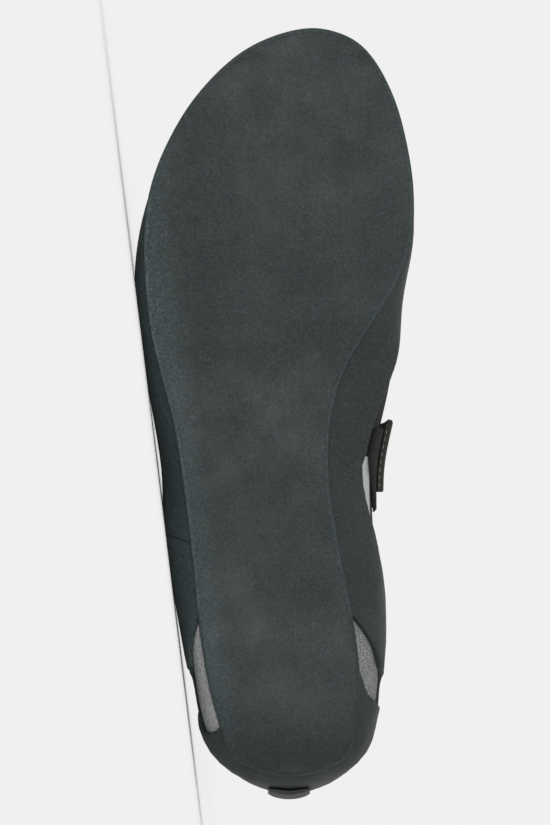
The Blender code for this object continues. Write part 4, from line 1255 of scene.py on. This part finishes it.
def make_toe_patch():
    """Rubber over the toes, between the two sides of the front rand."""
    inner = moved_round([p for p in RAND_TOP_INNER if 10 < p[0] < 13], GAP)
    outer = moved_round([p for p in RAND_TOP_OUTER if 10 < p[0] < 13], -GAP)
    outer = [(s, g + 2 * GIRTH_END) for s, g in outer]
    front = RAND_FRONT - GAP / span_of(RAND_FRONT - 0.2, 4.9, True)
    outline = outline_of(inner[::-1] + [(front, GIRTH_END)] + outer[::-1], PATCH_BACK,
                         [PATCH_BACK[-1], inner[-1]])
    build = wrapped(outline, GAP, GAP + PATCH_THICKNESS, over_toes=True)
    return new_piece("toe_cap", build, [rand_rubber], ["toe_patch"])


def strap_low(stations, girths):
    return np.interp(girths, STRAP_GIRTHS, STRAP_SEATS)


def strap_high(stations, girths):
    return strap_low(stations, girths) + STRAP_THICKNESS


def make_strap():
    """Strap from its sewn end on the outer side to its closing end on the loop patch."""
    outline = outline_of(STRAP_EDGE_FRONT, [STRAP_EDGE_FRONT[-1], STRAP_EDGE_BACK[0]],
                         STRAP_EDGE_BACK, [STRAP_EDGE_BACK[-1], STRAP_EDGE_FRONT[0]])
    build = wrapped(outline, strap_low, strap_high, FINE_CELL)
    return new_piece("closing_strap", build, [strap_cloth], ["strap"])


def make_loop_patch():
    """Straight-sided patch of loop fabric under the strap's closing end."""
    ends = LOOP_PATCH_EDGE[1:] + LOOP_PATCH_EDGE[:1]
    outline = outline_of(*zip(LOOP_PATCH_EDGE, ends))
    build = wrapped(outline, GAP, GAP + LOOP_PATCH_THICKNESS, FINE_CELL)
    return new_piece("loop_fabric", build, [loop_cloth], ["loop_patch"])


def make_binding():
    """Band round the collar and down both sides of the throat."""
    stations = (BINDING_END, 8.0, 7.0, 6.0, 5.0, 4.0, 3.0, 2.0, 1.0)
    side = [(s, -GIRTH_END + BINDING_WIDTH / span_of(s, 4.8, False)) for s in stations]
    back = BINDING_WIDTH / span_of(0.3, 0.0, True)
    side += [(back, -3.2), (back, 0.0)]
    inner_edge = side + mirrored(side[:-1])
    corners = [(BINDING_END, GIRTH_END), (0, GIRTH_END), (0, -GIRTH_END), (BINDING_END, -GIRTH_END)]
    outline = outline_of([corners[3], side[0]], inner_edge, [inner_edge[-1], corners[0]],
                         corners[:2], corners[1:3], corners[2:])
    build = wrapped(outline, GAP, GAP + BINDING_THICKNESS, FINE_CELL)
    return new_piece("collar_band", build, [band_cloth], ["collar_binding"])


def loop_path(half_thick):
    """Middle of the pull loop's webbing, as x and z: up the heel's back, over, and down inside."""
    outside = 3 * GAP + RAND_THICKNESS + half_thick
    inside = -UPPER_WALL - 4 * GAP - half_thick

    def behind_heel(station, distance):
        return on_last(station, 0, distance)[0][::2]

    path = [behind_heel(s, outside) for s in np.arange(2.5, 0.1, -0.25)]
    outer_top = behind_heel(0.0, outside)
    inner_top = behind_heel(0.0, inside)
    up = unit(outer_top - path[-1])
    across = 0.5 * (inner_top - outer_top)
    reach = float(np.linalg.norm(across))
    centre = 0.5 * (outer_top + inner_top) + up * (PULL_LOOP_RISE - reach)
    path.append(outer_top)
    for turn in np.linspace(0, math.pi, PULL_LOOP_BEND_POINTS):
        path.append(centre - across * math.cos(turn) + up * reach * math.sin(turn))
    return np.array(path + [behind_heel(s, inside) for s in (0.25, 0.5, 0.75, 1.0)])


def make_pull_loop():
    """Webbing that runs up the heel's back, stands up as a loop and comes down inside."""
    half_thick = 0.5 * PULL_LOOP_THICKNESS
    path = loop_path(half_thick)
    way = unit(np.gradient(path, axis=0))
    side = np.column_stack([-way[:, 1], way[:, 0]]) * half_thick
    run = run_along(path)
    spread = np.linspace(-0.5, 0.5, PULL_LOOP_ACROSS_POINTS) * PULL_LOOP_WIDTH
    rounded = (np.abs(spread) / (0.5 * PULL_LOOP_WIDTH))**PULL_LOOP_ROUNDNESS
    thin = np.sqrt(np.clip(1 - rounded, PULL_LOOP_EDGE_THIN, 1))
    curve = spread**2 / (PULL_LOOP_CURVE * HEEL_WIDTH)
    upper_side = np.column_stack([spread, curve, thin])
    lower_side = np.column_stack([spread, curve, -thin])[::-1]
    ring = np.concatenate([upper_side, lower_side, upper_side[:1]])
    build = sheet_through([[(x + dx * t + bend, y, z + dz * t) for y, bend, t in ring]
                           for (x, z), (dx, dz) in zip(path, side)])
    pattern = build.loops.layers.uv.new("flat")
    for face in build.faces:
        for loop in face.loops:
            loop[pattern].uv = (run[loop.vert.index // len(ring)], loop.vert.co.y)
    close_up(build, TOUCH)
    bmesh.ops.recalc_face_normals(build, faces=build.faces)
    return new_piece("pull_tab", build, [tab_rubber], ["pull_loop"])


# Stitching

def stitch_rows(name, rows, finish):
    """Rows of stitches, each along a path of station and girth at a distance from the last."""
    build = bmesh.new()
    for path, distance in rows:
        stations, girths = np.array(smooth_edge(path, STITCH_STEP)).T
        line = on_last(stations, girths, at_places(distance, stations, girths))
        out = unit(sample(NORMALS, stations, girths))
        run = run_along(line)

        def at(values, length):
            return np.array([np.interp(length, run, values[:, k]) for k in range(3)])

        for start in np.arange(0.5 * STITCH_PITCH, run[-1] - 0.5 * STITCH_PITCH, STITCH_PITCH):
            back, front = at(line, start - 0.5 * STITCH_LENGTH), at(line, start + 0.5 * STITCH_LENGTH)
            normal = Vector(at(out, start)).normalized()
            way = Vector(front - back).normalized()
            turn = Matrix((way, normal.cross(way).normalized(), normal)).transposed()
            place = Matrix.Translation(Vector(0.5 * (back + front))) @ turn.to_4x4()
            size = (0.5 * STITCH_LENGTH, STITCH_RADIUS, STITCH_RADIUS, 1)
            bmesh.ops.create_icosphere(build, subdivisions=1, radius=1,
                                       matrix=place @ Matrix.Diagonal(size))
    return new_piece(name, build, [finish])


def shifted(points, stations):
    """The same edge, moved along by a number of stations."""
    return [(s + stations, g) for s, g in points]


def on_strap(stations, girths):
    return strap_high(stations, girths) - STITCH_SINK


def on_fold(stations, girths):
    return strap_low(stations, girths) + 0.25 * STRAP_THICKNESS


def add_stitching():
    """Rows along the strap and across its ends, on its folded end where their pale line is a painted
    highlight, and on the upper's seams.
    """
    rows = [shifted(STRAP_EDGE_FRONT, -STITCH_INSET), shifted(STRAP_EDGE_BACK, STITCH_INSET)]
    stitch_rows("strap_stitches", [(row, on_strap) for row in rows + STRAP_CROSS_ROWS],
                thread_black)
    stitch_rows("strap_end_highlight_stitches", [(STRAP_END_HIGHLIGHT_ROW, on_fold)], grey_thread_and_highlight)
    rows = [QUARTER_ROW, shifted(QUARTER_ROW, -QUARTER_SECOND_ROW), other_side(QUARTER_ROW[1:]),
            VAMP_ROW, other_side(VAMP_ROW)]
    stitch_rows("upper_stitches", [(row, 0.0) for row in rows], grey_thread_and_highlight)


make_upper()
make_insole()
make_tongue()
make_outsole()
make_front_rand()
make_rear_rand()
make_heel_rubber()
make_toe_patch()
make_strap()
make_loop_patch()
make_binding()
make_pull_loop()
add_stitching()


# Floor, light and camera

# Brightness of the photograph's plain ground, and the floor's own, which the lamp adds to
PAPER = 0.871
FLOOR_PAINT = 0.97
FLOOR_HALF_WIDTH = 12.0

# The lamp stands nearly level in front of the sole
LAMP_FROM = (-0.08, -1.0, 0.03)
LAMP_SPREAD = math.radians(10)
LAMP_POWER = 2.6


def make_floor():
    build = bmesh.new()
    bmesh.ops.create_grid(build, x_segments=1, y_segments=1, size=FLOOR_HALF_WIDTH)
    floor = add_object("floor", mesh_of(build, "floor"))
    paint = Finish("floor_paint", (FLOOR_PAINT, FLOOR_PAINT, FLOOR_PAINT), 1.0)
    paint.shader.inputs["Specular IOR Level"].default_value = 0.0
    floor.data.materials.append(paint.material)


def make_light():
    """Even light from all round, and one far, wide lamp in front."""
    world = bpy.data.worlds.new("studio")
    world.use_nodes = True
    sky = world.node_tree.nodes["Background"]
    sky.inputs["Color"].default_value = (PAPER, PAPER, PAPER, 1)
    sky.inputs["Strength"].default_value = 1.0
    bpy.context.scene.world = world
    light = bpy.data.lights.new("front_light", "SUN")
    light.energy = LAMP_POWER
    light.angle = LAMP_SPREAD
    lamp = add_object("front_light", light)
    lamp.rotation_mode = "QUATERNION"
    lamp.rotation_quaternion = (-Vector(LAMP_FROM)).to_track_quat("-Z", "Y")
    bpy.context.scene.view_settings.view_transform = "Standard"


def make_camera():
    """Camera square to the sole at the middle of the photograph, the toes up."""
    along = (HEEL_PIXEL_ROW - 0.5 * PHOTO_HEIGHT) * METRES_PER_PIXEL
    across = (0.5 * PHOTO_WIDTH - AXIS_PIXEL_COLUMN) * METRES_PER_PIXEL
    aim = PLACE @ Vector((along, across, 0))
    turn = PLACE.to_3x3()
    look, toeward = turn @ Vector((0, 0, 1)), turn @ Vector((1, 0, 0))
    right = look.cross(toeward)
    data = bpy.data.cameras.new("camera")
    data.sensor_fit = "AUTO"
    data.sensor_width = SENSOR_HEIGHT
    data.lens = SENSOR_HEIGHT * CAMERA_DISTANCE / (PHOTO_HEIGHT * METRES_PER_PIXEL)
    data.clip_start, data.clip_end = CAMERA_CLIP
    camera = add_object("camera", data)
    place = Matrix((right, toeward, -look)).transposed().to_4x4()
    place.translation = aim - look * CAMERA_DISTANCE
    camera.matrix_world = place
    bpy.context.scene.camera = camera


make_floor()
make_light()
make_camera()
